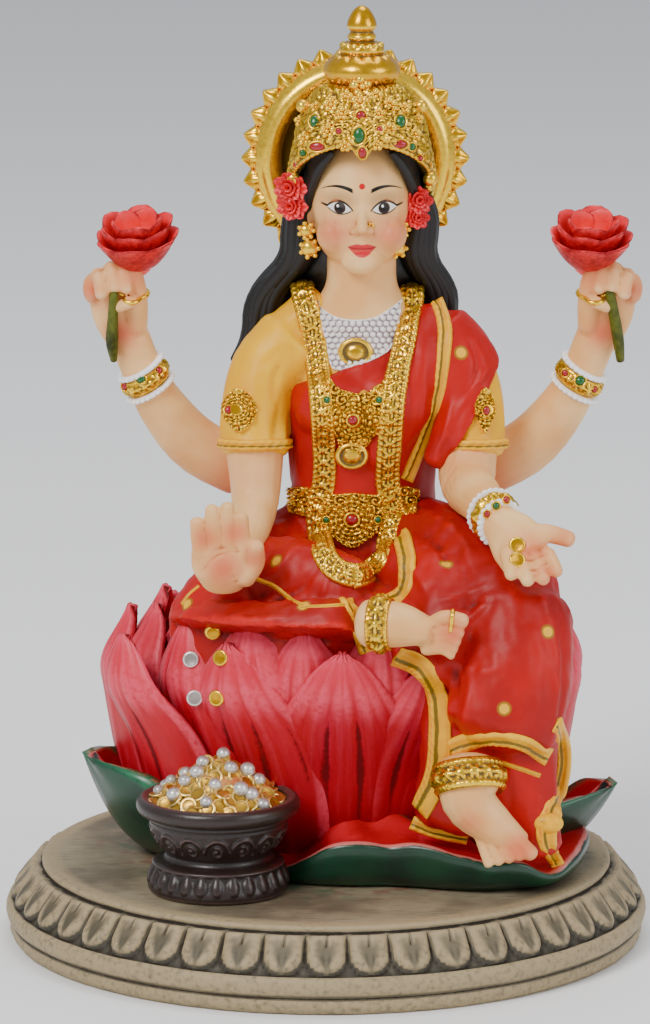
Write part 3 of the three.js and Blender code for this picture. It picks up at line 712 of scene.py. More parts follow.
# %% Turn shapes on a lathe
def turned(bm, profile, steps, centre=(0, 0)):
    """Spins a profile of [radius, height] pairs, from axis to axis, round the upright line at centre."""
    verts = [bm.verts.new((radius, 0, height)) for radius, height in profile]
    edges = [bm.edges.new(pair) for pair in zip(verts, verts[1:])]
    before = set(bm.verts) - set(verts)
    bmesh.ops.spin(bm, geom=verts + edges, cent=(0, 0, 0), axis=(0, 0, 1), angle=2 * math.pi, steps=steps,
                   use_merge=True)
    made = [vert for vert in bm.verts if vert not in before]
    bmesh.ops.remove_doubles(bm, verts=made, dist=1e-4)
    made = [vert for vert in made if vert.is_valid]
    bmesh.ops.recalc_face_normals(bm, faces=faces_of(made))
    bmesh.ops.translate(bm, vec=(*centre, 0), verts=made)
    return made


def lumps(places, size, seed, waves=12):
    """Soft unevenness between about -1 and 1, from waves of about the given size in random directions."""
    rng = np.random.default_rng(seed)
    ways = unit_rows(rng.normal(size=(waves, 3))) * (2 * math.pi / size) * rng.uniform(0.6, 1.5, (waves, 1))
    return np.sin(places @ ways.T + rng.uniform(0, 2 * math.pi, waves)).sum(1) / waves * 1.6


# %% Carve the plinth
TONGUES = 46
STEPS_A_TONGUE = 16
TONGUE_FOOT = (PLINTH_RADIUS - 1.1, 6.6)
TONGUE_HEAD = (PLINTH_RADIUS - 5.3, 12.0)


def tongue_relief(x, s):
    """Height over the slope, and how grey the paint is, at x across and s up a tongue, in millimetres."""
    HALF, FOOT_ROUND, RISE, EDGE = 3.3, 3.3, 1.15, 1.5
    inside = np.where(s < FOOT_ROUND, HALF - np.hypot(x, s - FOOT_ROUND), HALF - np.abs(x))
    swell = np.clip(inside / EDGE, 0, 1)
    height = RISE * np.sqrt(1 - (1 - swell) ** 2)
    slit = np.exp(-(((x - 0.1 * (s - 5)) / 0.2) ** 2)) * ease(s, 4.5, 5.1)
    lobes = 0.16 * np.exp(-(((np.abs(x) - 1.3) / 0.9) ** 2) - ((s - 2.2) / 1.6) ** 2)
    grey = (1 - ease(s, 2.4, 4.2)) * ease(np.abs(x), 0.1, 0.6)
    return height + lobes - 0.45 * slit * (swell > 0), grey


def make_plinth():
    slope_rows = 24
    slope = [np.array(TONGUE_FOOT) * (1 - t) + np.array(TONGUE_HEAD) * t
             for t in np.linspace(0, 1, slope_rows)]
    r, top = PLINTH_RADIUS, PLINTH_TALL
    disc = r - 6.3
    foot = [(0, 0), (r - 3, 0), (r - 1.4, 0.2), (r - 0.9, 0.9), (r - 0.75, 1.6), (r - 0.8, 2.3),
            (r - 1.15, 2.8)]
    belly = [(r - 0.8, 3.1), (r - 0.25, 3.8), (r - 0.05, 4.6), (r - 0.1, 5.4), (r - 0.4, 6.1),
             (r - 0.8, 6.45)]
    roll = [(disc + 0.3, top - 1.4), (disc - 0.2, top - 1.15), (disc + 0.05, top - 0.75),
            (disc, top - 0.35),
            (disc - 0.35, top - 0.08), (disc - 1, top)]
    flat = [(radius, top) for radius in (disc - 4, 38, 30, 20, 10, 0)]
    bm = fresh("shade")
    verts = turned(bm, foot + belly + [tuple(place) for place in slope] + roll + flat,
                   TONGUES * STEPS_A_TONGUE)
    grey_layer = bm.verts.layers.float["shade"]
    place = positions(verts)
    turn = np.arctan2(place[:, 0], -place[:, 1])
    share = turn * TONGUES / (2 * math.pi)
    whole = np.rint(share)
    part = (share - whole) * 2
    part = part - 0.6 / (2 * math.pi) * np.sin(2 * math.pi * part)
    turn = (whole + part / 2) * 2 * math.pi / TONGUES
    radius = np.hypot(place[:, 0], place[:, 1])
    height = place[:, 2]
    way = np.array(TONGUE_HEAD) - np.array(TONGUE_FOOT)
    length = np.linalg.norm(way)
    up = ((radius - TONGUE_FOOT[0]) * way[0] + (height - TONGUE_FOOT[1]) * way[1]) / length
    on_slope = (height > TONGUE_FOOT[1] - 0.01) & (height < TONGUE_HEAD[1] + 0.01) & (radius > disc + 0.5)
    rise, grey = tongue_relief(part * math.pi * radius / TONGUES, up)
    rise = np.where(on_slope, rise - 0.45, 0)
    radius = radius + rise * way[1] / length
    height = height - rise * way[0] / length
    rough = np.exp(-((height - 1.2) / 1.1) ** 2) * 0.22 * (radius > r - 3)
    bumps = lumps(place, 1.6, 3) + 0.7 * lumps(place, 4.5, 4)
    radius = radius + rough * bumps + 0.06 * lumps(place, 9, 5) * (radius > disc - 2)
    height = height + 0.05 * lumps(place, 12, 6) * (height > 3) * (height < top - 1.6)
    moved = np.stack([np.sin(turn) * radius, -np.cos(turn) * radius, height], axis=1)
    move_to(verts, moved - np.array([0, 0, PLINTH_TALL]))
    for vert, value in zip(verts, np.where(on_slope, grey, 0)):
        vert[grey_layer] = value
    return bm


# %% [markdown]
# The plinth's paint imitates weathered stone: taupe with a dark wash that is also painted shade in the
# hollows, darker everywhere below the disc's rim, blue-grey on the tongues' lower lobes, and on the disc
# faint scratches and a few smudges of the lotus's green and red, where the brush slipped.

# %% Paint the plinth
def stone_body(tree):
    place = object_place(tree)
    patches = cloud(tree, place, 55, 4)
    body = blend(tree, fade(tree, patches, 0.38, 0.62), tone("665C4A"), tone("94886E"))
    streaks = cloud(tree, place, 260, 3, stretch=(1, 6, 1))
    body = blend(tree, fade(tree, streaks, 0.52, 0.75, 0, 0.5), body, tone("40372B"))
    grey = maths(tree, "MULTIPLY", kept(tree, "shade"), fade(tree, cloud(tree, place, 700, 3), 0.2, 0.55,
                                                             0.5, 1))
    body = blend(tree, grey, body, tone("3E4042"))
    split = tree.nodes.new("ShaderNodeSeparateXYZ")
    tree.links.new(place, split.inputs[0])
    low = fade(tree, split.outputs[2], 0.0108, 0.0128, 0.66, 0)
    body = blend(tree, low, body, tone("484230"))
    ahead = maths(tree, "ADD", split.outputs[1], -LOTUS_AXIS[1] * MM)
    aside = maths(tree, "ADD", split.outputs[0], -LOTUS_AXIS[0] * MM)
    reach = maths(tree, "SQRT", maths(tree, "ADD", maths(tree, "POWER", ahead, 2.0),
                                      maths(tree, "POWER", aside, 2.0)))
    near = maths(tree, "MULTIPLY", fade(tree, reach, 0.036, 0.046, 1, 0),
                 fade(tree, split.outputs[2], 0.0128, 0.0134))
    slip = maths(tree, "MULTIPLY", near, fade(tree, cloud(tree, place, 210, 3), 0.48, 0.62))
    which = fade(tree, cloud(tree, place, 60), 0.45, 0.55)
    smudge = blend(tree, which, tone("2F5A43"), tone("7A3A30"))
    return blend(tree, maths(tree, "MULTIPLY", slip, 0.55), body, smudge)


stone_paint = painted("stone paint", stone_body, tone("2A2219"), tone("A2906E"), wash_and_shade_depth=3.2,
                      edge_height=2.4, mottle=0.22, roughness=0.55, bump=0.3)
finished(make_plinth(), "painted_plinth", stone_paint, node="plinth",
         rounds=10)

# %% [markdown]
# ## The lotus
# The seat is a cup of pointed petals in two rings. Each petal is bulbous: narrow at its foot, widest below
# the middle, drawn to a beak, and fluted by lines that meet at the tip. A petal is a flat grid whose points
# are laid on the lotus's wall, so the flutes follow its outline by themselves. Its margins roll in, and
# the Solidify operator gives it its thickness. The UV map of the grid stays, and the paint uses it.

# %% Shape the wall that the petals follow
# Rows of height, and distance from the lotus's axis at the sides, in front and behind.
LOTUS_WALL = [
    (0, 34.6, 22, 27),
    (8, 37.6, 24.6, 29),
    (16, 39.9, 28, 32),
    (26, 41.4, 33, 34),
    (34, 41.8, 37.4, 35),
    (41.4, 39.6, 39.2, 34),
]
lotus_rows = smooth_line([(side, front, height, behind) for height, side, front, behind in LOTUS_WALL], 80)


def lotus_wall(share, angle):
    """Distance from the axis and height of the wall, at a share of its rise, in the direction angle."""
    at = np.clip(share, 0, 1) * (len(lotus_rows) - 1)
    side, front, height, behind = [np.interp(at, np.arange(len(lotus_rows)), column)
                                   for column in lotus_rows.T]
    facing = np.cos(np.radians(angle))
    away = np.where(facing > 0, front, behind)
    beyond = np.clip(share - 1, 0, None) * LOTUS_WALL[-1][0]
    return side + (away - side) * np.abs(facing) ** 2.4 - 0.4 * beyond, height + beyond


# %% Lay a petal on a wall
def petal(bm, axis, angle, wall, half, *, bulge, roll, across, along, flutes, thick=1.4, cup=0.0):
    """wall(v): distance and height of its middle line, half(v): its half width, v from foot to tip."""
    side_layer = bm.verts.layers.float["inside"]
    made = bmesh.ops.create_grid(bm, x_segments=across, y_segments=along, size=0.5, calc_uvs=True)["verts"]
    flat = positions(made) + 0.5
    a, v = 2 * flat[:, 0] - 1, flat[:, 1]
    radius, height = wall(v)
    width = half(v)
    fullness = np.clip(width / half(np.array(0.4)), 0, 1)
    sunk = bulge * a**2 * fullness + roll * np.abs(a) ** 7 * fullness
    reach = radius - sunk + flutes(a, v)
    turn = math.radians(angle)
    way = np.array([math.sin(turn), -math.cos(turn)])
    sideways = np.array([math.cos(turn), math.sin(turn)])
    flat_place = np.asarray(axis) + np.outer(reach, way) + np.outer(a * width, sideways)
    move_to(made, np.column_stack([flat_place, height + cup * a**2 * np.sin(math.pi * v)]))
    faces = faces_of(made)
    bmesh.ops.recalc_face_normals(bm, faces=faces)
    out = Vector((*way, 0))
    if sum(face.normal.dot(out) for face in faces) < 0:
        bmesh.ops.reverse_faces(bm, faces=faces)
    outer = set(made)
    walls = bmesh.ops.solidify(bm, geom=faces, thickness=thick)["geom"]
    for item in walls:
        if isinstance(item, bmesh.types.BMVert) and item not in outer:
            item[side_layer] = 1
    return made


def petal_half(most):
    """Half width of a lotus petal along v: from its foot, round a full belly, to a blunt point."""
    shape = smooth_line([(0, 0.72, 0), (0.2, 0.9, 0), (0.42, 1, 0), (0.6, 0.96, 0), (0.74, 0.81, 0),
                         (0.86, 0.58, 0), (0.94, 0.35, 0), (1, 0.1, 0)], 60)
    return lambda v: most * np.interp(v, shape[:, 0], shape[:, 1])


def flute_lines(count, depth, seed):
    """Fine grooves that run from foot to tip, a little unevenly, over soft ridges."""
    rng = np.random.default_rng(seed)
    middles = np.linspace(-0.8, 0.8, count) + rng.uniform(-0.05, 0.05, count)
    depths = rng.uniform(0.55, 1, count)
    sway = rng.uniform(0, 6.3, count)

    def height(a, v):
        total = 0.35 * depth * np.cos(a * math.pi * count / 1.7)
        for middle, deep, phase in zip(middles, depths, sway):
            line = middle + 0.025 * np.sin(7 * v + phase)
            total = total - deep * depth * np.exp(-(((a - line) / 0.055) ** 2))
        return total * np.sin(math.pi * np.clip(0.1 + 0.88 * v, 0, 1)) ** 0.5 * ease(v, -0.3, 0.55)

    return height


# %% Make two rings of petals
# Each petal is its angle round the lotus, 0 in front and counted to the viewer's right, how far it stands
# back from the wall, its reach, and how far its tip leans out. One outer petal in front is low, where the
# sari's border crosses it.
OUTER = [(-91, 0.0, 1.0, 1), (-60, -0.8, 0.99, 4.4), (-31, 1.2, 1.0, 0), (-1, -0.4, 1.0, 0),
         (22, 1.6, 0.93, 0), (48, 0.2, 1.0, 0), (76, 1.4, 1.0, 1), (104, 0.0, 1.0, 1), (132, 1.5, 0.98, 0),
         (160, 0.2, 1.0, 0), (-170, 1.5, 0.99, 0), (-144, 0.1, 1.0, 0), (-117, 1.5, 0.98, 0)]
INNER = [(-76, 1.05), (-50, 1.06), (-27, 1.11), (-11, 1.07), (9, 1.09), (34, 1.08), (62, 1.04), (90, 1.05),
         (118, 1.04), (146, 1.05), (174, 1.04), (-157, 1.05), (-130, 1.04), (-103, 1.05)]
INNER_BACK = 3.0


def make_lotus():
    bm = fresh("inside", uv=True)
    rows = [(*row, 11.9) for row in OUTER] + [(angle, INNER_BACK, reach, 0, 10.6) for angle, reach in INNER]
    for i, (angle, back, reach, lean, most) in enumerate(rows):
        ahead = max(math.cos(math.radians(angle)), 0)
        seen = math.cos(math.radians(angle)) > -0.3

        def wall(v, angle=angle, reach=reach, back=back, ahead=ahead, lean=lean):
            radius, height = lotus_wall(v * reach, angle)
            beak = 2.6 * ahead * ease(v, 0.4, 0.85) - (1.2 + 1.8 * (1 - ahead)) * ease(v, 0.72, 1)
            return radius - back + beak + lean * ease(v, 0.45, 1), height

        petal(bm, LOTUS_AXIS, angle, wall, petal_half(most), flutes=flute_lines(7, 0.45, i), bulge=5.0,
              roll=1.2, across=26 if seen else 18, along=28 if seen else 20)
    turned(bm, [(0, 0.2), (20, 0.2), (22, 8), (25, 18), (29, 28), (31, 36), (0, 38)], 36, LOTUS_AXIS)
    return bm


def petal_body(tree):
    uv = tree.nodes.new("ShaderNodeUVMap")
    split = tree.nodes.new("ShaderNodeSeparateXYZ")
    tree.links.new(uv.outputs[0], split.inputs[0])
    u, v = split.outputs[0], split.outputs[1]
    place = object_place(tree)
    off_middle = maths(tree, "ABSOLUTE", maths(tree, "SUBTRACT", u, 0.5))
    body = blend(tree, fade(tree, v, 0.02, 0.5), tone("740006"), tone("C41024"))
    streaks = tree.nodes.new("ShaderNodeMapping")
    tree.links.new(uv.outputs[0], streaks.inputs["Vector"])
    streaks.inputs["Scale"].default_value = (26, 2.2, 1)
    streaky = cloud(tree, streaks.outputs[0], 1.0, 3)
    pale = maths(tree, "MULTIPLY", fade(tree, streaky, 0.42, 0.7), fade(tree, v, 0.25, 0.7))
    pale = maths(tree, "MULTIPLY", pale, fade(tree, off_middle, 0.12, 0.42, 0.8, 0.2))
    body = blend(tree, pale, body, tone("D02840"))
    tip = maths(tree, "MULTIPLY", fade(tree, v, 0.78, 0.95), 0.75)
    body = blend(tree, tip, body, tone("DC3048"))
    sides = maths(tree, "MULTIPLY", fade(tree, off_middle, 0.36, 0.5), 0.7)
    body = blend(tree, sides, body, tone("B80A1A"))
    inside = kept(tree, "inside")
    speckle = fade(tree, cloud(tree, place, 900, 2), 0.62, 0.7, 0, 0.2)
    body = blend(tree, speckle, body, tone("98101E"))
    return blend(tree, maths(tree, "MULTIPLY", inside, 0.8), body, tone("B00814"))


petal_paint = painted("petal paint", petal_body, tone("740410"), tone("E4485E"), wash_and_shade_depth=1.7,
                      edge_height=4.0, mottle=0.08, roughness=0.42, bump=0.12)
lotus = finished(make_lotus(), "lotus_petals", petal_paint, rounds=8)

# %% [markdown]
# ## The leaves
# Broad leaves stand round the lotus's foot. The two at the sides and two behind are single pointed blades
# that lean out, green outside and red within. In front a leaf lies along the disc with a wavy rim: its green
# outside is seen as a band below a thin pale line, and its red inside slopes up to the petals. That one is
# a sheet whose section, from disc to rim and back, is drawn at a few stations and smoothed between them.

# %% Make the leaves
BLADES = [
    dict(angle=-72, base=34, reach=47, lift=18, most=15, cup=9, low=2.0),
    dict(angle=68, base=35, reach=49.4, lift=13.6, most=14, cup=5.5, low=1.9),
    dict(angle=130, base=31, reach=39, lift=13, most=13),
    dict(angle=-134, base=31, reach=39, lift=13, most=13),
    dict(angle=180, base=30, reach=36, lift=9, most=12),
    dict(angle=-42, base=29, reach=33.5, lift=7, most=9),
]
# Stations of the front leaf: x and y where it meets the disc, then how far its rim leans out and stands up.
FRONT_LEAF = [
    (-12, -18, 2, 3),
    (-6, -21, 2.2, 3.4),
    (-3, -22.4, 2.8, 5.2),
    (1, -23.4, 3.6, 7.7),
    (5, -23.8, 3.8, 8.5),
    (9.6, -23.6, 3.2, 7.7),
    (14, -24.4, 4, 8.4),
    (20, -25.8, 4.6, 7),
    (25, -26.6, 4.6, 6),
    (30, -26, 4.8, 5.6),
    (34.4, -23.6, 5.2, 3.2),
    (38.4, -19, 4.6, 4.8),
    (41, -12, 4, 6.6),
    (41.4, -4, 3, 6),
]


def blade(bm, angle, base, reach, lift, most, cup=0.0, low=0.9):
    def wall(v):
        return base + (reach - base) * v**1.3 + 1.2 * np.sin(math.pi * v), 0.3 + lift * v**low

    shape = smooth_line([(0, 0.8, 0), (0.35, 1, 0), (0.65, 0.86, 0), (0.88, 0.52, 0), (1, 0.16, 0)], 40)
    half = lambda v: most * np.interp(v, shape[:, 0], shape[:, 1])
    ribs = lambda a, v: 0.16 * np.cos(a * 9) - 0.3 * np.exp(-((a / 0.08) ** 2))
    petal(bm, LOTUS_AXIS, angle, wall, half, bulge=3.2, roll=0.8, thick=1.8, cup=cup, across=18, along=18,
          flutes=ribs)


def front_leaf(bm):
    ALONG, AROUND = 110, 30
    rows = smooth_line([(x, y, 0, lean, up) for x, y, lean, up in FRONT_LEAF], ALONG + 1)
    out = rows[:, :2] - np.array(LOTUS_AXIS)
    out = out / np.linalg.norm(out, axis=1)[:, None]
    side_layer = bm.verts.layers.float["inside"]
    made = bmesh.ops.create_grid(bm, x_segments=AROUND, y_segments=ALONG, size=0.5)["verts"]
    flat = positions(made) + 0.5
    row = np.rint(flat[:, 1] * ALONG).astype(int)
    lean, up = rows[row, 3], rows[row, 4]
    section = np.array([(-14, 0, 0), (0, 0, 0), (0.7, 0.3, 0), (1, 0.75, 0), (1, 0.96, 0),
                        (0.8, 1.04, 0.35),
                        (0.45, 1, 1), (-0.6, 0.92, 1), (-2.4, 1.05, 1), (-4, 1.3, 1)])
    at = flat[:, 0] * (len(section) - 1)
    out_share, up_share, inner = [np.interp(at, np.arange(len(section)), column) for column in section.T]
    outwards = np.where(out_share < 0, out_share * np.where(out_share < -5, 1, 3), out_share * lean)
    place = rows[row, :2] + out[row] * outwards[:, None]
    wave = 0.25 * lumps(np.column_stack([place, up]), 7, 8) * (up_share > 0.2)
    move_to(made, np.column_stack([place, up * up_share + wave]))
    for vert, value in zip(made, inner):
        vert[side_layer] = value
    bmesh.ops.holes_fill(bm, edges=rim_of(made), sides=0)
    bmesh.ops.recalc_face_normals(bm, faces=faces_of(made))


def make_leaves():
    bm = fresh("inside", uv=True)
    for one in BLADES:
        blade(bm, **one)
    front_leaf(bm)
    return bm


def leaf_body(tree):
    place = object_place(tree)
    inside = kept(tree, "inside")
    green = blend(tree, fade(tree, cloud(tree, place, 120, 3), 0.3, 0.7), tone("03281A"), tone("084028"))
    red = blend(tree, fade(tree, cloud(tree, place, 140, 3), 0.35, 0.7), tone("C00C14"), tone("DC2430"))
    body = blend(tree, fade(tree, inside, 0.3, 0.42), green, red)
    wobble = maths(tree, "MULTIPLY_ADD", maths(tree, "SUBTRACT", cloud(tree, place, 500), 0.5), 0.25,
                   inside)
    line = maths(tree, "MULTIPLY", fade(tree, wobble, 0.08, 0.2), fade(tree, wobble, 0.4, 0.62, 1, 0))
    return blend(tree, maths(tree, "MULTIPLY", line, 0.75), body, tone("E88078"))


leaf_paint = painted("leaf paint", leaf_body, tone("03160E"), tone("1A7048"), wash_and_shade_depth=9, edge_height=9,
                     mottle=0.12, roughness=0.33, bump=0.15, gloss=0.2)
leaves = finished(make_leaves(), "lotus_leaves", leaf_paint, rounds=4)

# %% [markdown]
# ## The sari
# The cloth over hips and legs is one skin over clay masses: the seat, the lap, a folded leg in front and a
# hanging leg at the viewer's right. Folds are strokes. They start where cloth is gathered, at the waist, the
# ankle and between the knees, and die out over the knees, where it is stretched.

# %% Model the cloth of the lower body
def folds(tree, strokes):
    """Strokes drawn on the sheet, as (points, width, depth), thrown onto the surface."""
    return [(laid(tree, points, 12)[0], width, depth) for points, width, depth in strokes]


def tree_of(bm):
    bm.normal_update()
    return BVHTree.FromBMesh(bm)


LAP_FOLDS = [
    ([(-0.7, 55.2), (-4.3, 50.1), (-10.7, 48.1)], 0.7, -0.45),
    ([(0.7, 52.7), (-1.3, 48.8), (-4.3, 47.4)], 0.6, 0.4),
    ([(-4.3, 58.6), (-7.7, 54.2), (-10.7, 51.8)], 0.9, 0.5),
    ([(-5.7, 62.0), (-8.3, 57.8), (-10.0, 54.9)], 0.8, -0.4),
    ([(-2.7, 46.4), (-10.7, 45.0), (-20.0, 45.7)], 0.8, 0.45),
    ([(2.3, 45.3), (-9.3, 42.6), (-21.0, 41.6)], 0.9, -0.3),
    ([(3.2, 41.6), (-6.0, 39.5), (-15.0, 39.9)], 0.7, 0.3),
    ([(13.1, 55.2), (15.6, 51.8), (17.3, 48.4)], 0.7, 0.4),
    ([(14.3, 62.0), (18.9, 57.2), (21.6, 51.1)], 0.9, -0.5),
    ([(16.3, 63.7), (22.6, 58.6), (25.0, 51.8)], 1.0, 0.6),
    ([(18.9, 65.4), (25.6, 60.6), (28.3, 55.2)], 0.8, -0.45),
    ([(19.0, 48.4), (22.6, 49.1), (27.3, 51.1)], 0.6, 0.45),
    ([(20.3, 46.4), (24.0, 47.4), (29.0, 48.8)], 0.5, -0.4),
    ([(22.3, 44.3), (25.0, 46.0), (27.0, 48.4)], 0.6, 0.45),
    ([(21.0, 38.2), (25.7, 36.1), (29.4, 36.8)], 0.8, 0.3),
    ([(20.0, 41.6), (21.7, 33.0), (21.1, 24.5)], 1.0, -0.6),
    ([(24.0, 41.6), (23.7, 31.3), (22.8, 25.2)], 0.9, 0.35),
    ([(28.9, 55.2), (34.0, 50.1), (37.7, 39.9)], 1.4, -0.35),
    ([(35.6, 50.1), (38.4, 39.9), (38.5, 27.9)], 1.2, 0.4),
    ([(39.0, 41.6), (39.4, 31.3), (38.5, 22.8)], 0.8, -0.4),
    ([(32.4, 33.0), (33.1, 27.9), (32.5, 24.8)], 0.9, 0.25),
    ([(17.4, 34.8), (18.1, 27.9), (17.4, 19.3)], 0.8, -0.3),
    ([(15.6, 58.6), (13.6, 51.8), (11.0, 47.7)], 0.8, -0.35),
]


def ripple(skin, strength):
    """Soft unevenness, as thumbs leave it on clay, with finer creases that mostly run downwards."""
    skin.normal_update()
    verts = list(skin.verts)
    place = positions(verts)
    normals = np.array([vert.normal for vert in verts])
    creases = np.clip(lumps(place * (1, 1, 0.45), 4.2, 21) + 0.6 * lumps(place * (1, 1, 0.6), 2.6, 22), -1,
                      1)
    move_to(verts, place + normals * (strength * (0.8 * lumps(place, 9, 23) + creases))[:, None])


PAINTED_DOTS = [(-23.2, 47.7), (-3.7, 47.4), (-8.2, 55.0), (20.0, 54.7), (37.0, 43.0), (29.8, 29.8)]


def tuck(skin):
    """Presses the cloth of the folded leg back behind the petals in front of it."""
    verts = list(skin.verts)
    place = positions(verts)
    away = place[:, :2] - np.array(LOTUS_AXIS)
    reach = np.linalg.norm(away, axis=1)
    share = np.clip(place[:, 2] / LOTUS_WALL[-1][0], 0, 1)
    turn = np.degrees(np.arctan2(away[:, 0], -away[:, 1]))
    limit = lotus_wall(share, turn)[0] - 3.8 + 14 * ease(place[:, 2], 42, 50) + 30 * ease(place[:, 0], 10.5,
            14)
    scale = np.minimum(1, limit / np.maximum(reach, 1e-6))
    place[:, :2] = np.array(LOTUS_AXIS) + away * scale[:, None]
    move_to(verts, place)


def make_sari():
    bm = fresh()
    limb(bm, [(6, 10, 36, 26, 22), (6, 8, 45, 25, 20), (6.2, 5, 53, 17, 12.5), (6.2, 4, 62, 11.8, 9)])
    ball(bm, (5, -12, 43), (24, 18, 8))
    limb(bm, [(-4, 4, 48, 12, 10), (-12, -5, 46.4, 10.6, 9.4), (-19.6, -14, 41.6, 8.2, 8.4)])
    limb(bm, [(-20.4, -18, 41, 7, 7.4), (-8, -26, 43, 6.4, 6.8), (2, -29.6, 45.4, 5.4, 5.6)])
    limb(bm, [(13, 4, 50, 12, 10), (23.4, -10, 51, 10.6, 9.8), (31, -20, 47.4, 9.4, 9.8)])
    limb(bm, [(31.6, -22, 46, 9.6, 9.2), (31, -28, 36, 9.8, 8.4), (29, -31, 29.6, 9.8, 6.4)])
    limb(bm, [(26.6, -22, 40, 11.6, 7), (27, -24, 24, 11.4, 6), (26, -25, 12, 11.6, 5.6)])
    limb(bm, [(33, -25, 32, 6, 5), (33, -26.4, 18, 5.6, 4.4), (36, -27.4, 8, 3.4, 3.4)])
    limb(bm, [(-16, -2, 50, 5, 6), (-6, -14, 50, 8, 6), (4, -20, 48, 8, 5)])
    limb(bm, [(12, -12, 52, 7, 5), (20, -22, 47, 7, 6), (20, -27, 38, 6, 5)])
    skin = melted(bm, 0.56, 16)
    dots = skin.verts.layers.float.new("dot")
    tuck(skin)
    tree = tree_of(skin)
    carve(skin, folds(tree, LAP_FOLDS))
    ripple(skin, 0.22)
    places = positions(skin.verts)
    centres = np.array([tuple(thrown(tree, *dot)[0]) for dot in PAINTED_DOTS])
    gaps = np.linalg.norm(places[:, None, :] - centres[None, :, :], axis=2).min(1)
    for vert, gap in zip(skin.verts, gaps):
        vert[dots] = gap
    return skin


def cloth_body(tree):
    place = object_place(tree)
    body = blend(tree, fade(tree, cloud(tree, place, 60, 2), 0.35, 0.65), tone("9C0200"), tone("B80400"))
    body = blend(tree, fade(tree, cloud(tree, place, 700, 3), 0.6, 0.75, 0, 0.35), body, tone("C8140A"))
    dot = kept(tree, "dot")
    body = blend(tree, fade(tree, dot, 1.15, 1.35, 1, 0), body, tone("9A6404"))
    return blend(tree, fade(tree, dot, 0.75, 1.0, 1, 0), body, tone("EEB01E"))


sari_paint = painted("sari paint", cloth_body, tone("6C0004"), tone("CC1006"), wash_and_shade_depth=7, edge_height=7,
                     mottle=0.08, roughness=0.46, bump=0.12)
sari = finished(make_sari(), "sari_cloth", sari_paint, rounds=18)

# %% [markdown]
# The blouse is yellow, with short sleeves. Over it goes the free end of the sari: a red layer that crosses
# the breast below a slanting edge and hangs over the viewer's right shoulder. Each is its own closed skin, so
# its edge stands a little proud, as in the casting.

# %% Model the blouse and the cloth over it
BODY_X = 6.2
SLEEVE = [(-5.5, 3, 88, 7, 6.4), (-9.6, 2, 84, 6.4, 6.4), (-12, 0, 77, 5.8, 6), (-12, -2, 70.4, 5.9, 6)]
SHOULDER = [(-0.9, 3.4, 95.2, 3.6, 3.6), (-4.6, 3.0, 91.6, 4.2, 4.2), (-8.2, 2.4, 87, 4.8, 4.8),
            (-10.6, 1.6, 82.4, 5.2, 5.2)]
TRUNK = [(6.2, 4, 56, 12.2, 9.4), (6.2, 4, 63, 11.6, 8.8), (6.2, 3.4, 72, 12.2, 9.2),
         (6.2, 3, 80, 13.2, 9.4), (6.2, 4, 88, 11.8, 7.6), (6.2, 3.4, 94, 6.4, 5.8)]


def mirrored(stations):
    return [(2 * BODY_X - x, *rest) for x, *rest in stations]


def make_blouse():
    bm = fresh()
    limb(bm, TRUNK, tip=0.3, sides=32)
    ball(bm, (6.2, -1.8, 78.6), (11, 6.6, 6))
    limb(bm, SLEEVE, tip=0.25, sides=24)
    limb(bm, SHOULDER, tip=0.25, sides=24)
    limb(bm, mirrored(SLEEVE), tip=0.25, sides=24)
    skin = melted(bm, 0.55, 9)
    creases = [
        ([(-6.3, 90.6), (-8.3, 86.9), (-8.6, 82.2)], 0.7, -0.5),
        ([(-6.9, 91.2), (-9.3, 88.9), (-10.6, 87.9)], 0.6, -0.4),
        ([(-7.6, 82.2), (-8.3, 77.2), (-8.6, 73.5)], 0.8, -0.45),
        ([(-6.3, 81.5), (-7.0, 77.2), (-7.3, 72.8)], 0.6, 0.35),
        ([(-10.6, 75.5), (-12.6, 74.8), (-14.9, 75.5)], 0.5, 0.25),
        ([(23.8, 82.2), (22.5, 77.2), (20.9, 72.8)], 0.7, -0.4),
    ]
    carve(skin, folds(tree_of(skin), creases))
    ripple(skin, 0.12)
    return skin


def fuller(stations, extra):
    return [(x, y, z, wide + extra, deep + extra) for x, y, z, wide, deep in stations]


def trimmed(bm, place, way):
    """Cuts everything off that lies beyond a plane, and closes the cut."""
    bmesh.ops.bisect_plane(bm, geom=list(bm.verts) + list(bm.edges) + list(bm.faces), dist=1e-4,
                           plane_co=place, plane_no=way, clear_outer=True)
    bmesh.ops.holes_fill(bm, edges=[edge for edge in bm.edges if edge.is_boundary], sides=0)


SHOULDER_DOT = (22.3, 90.1)


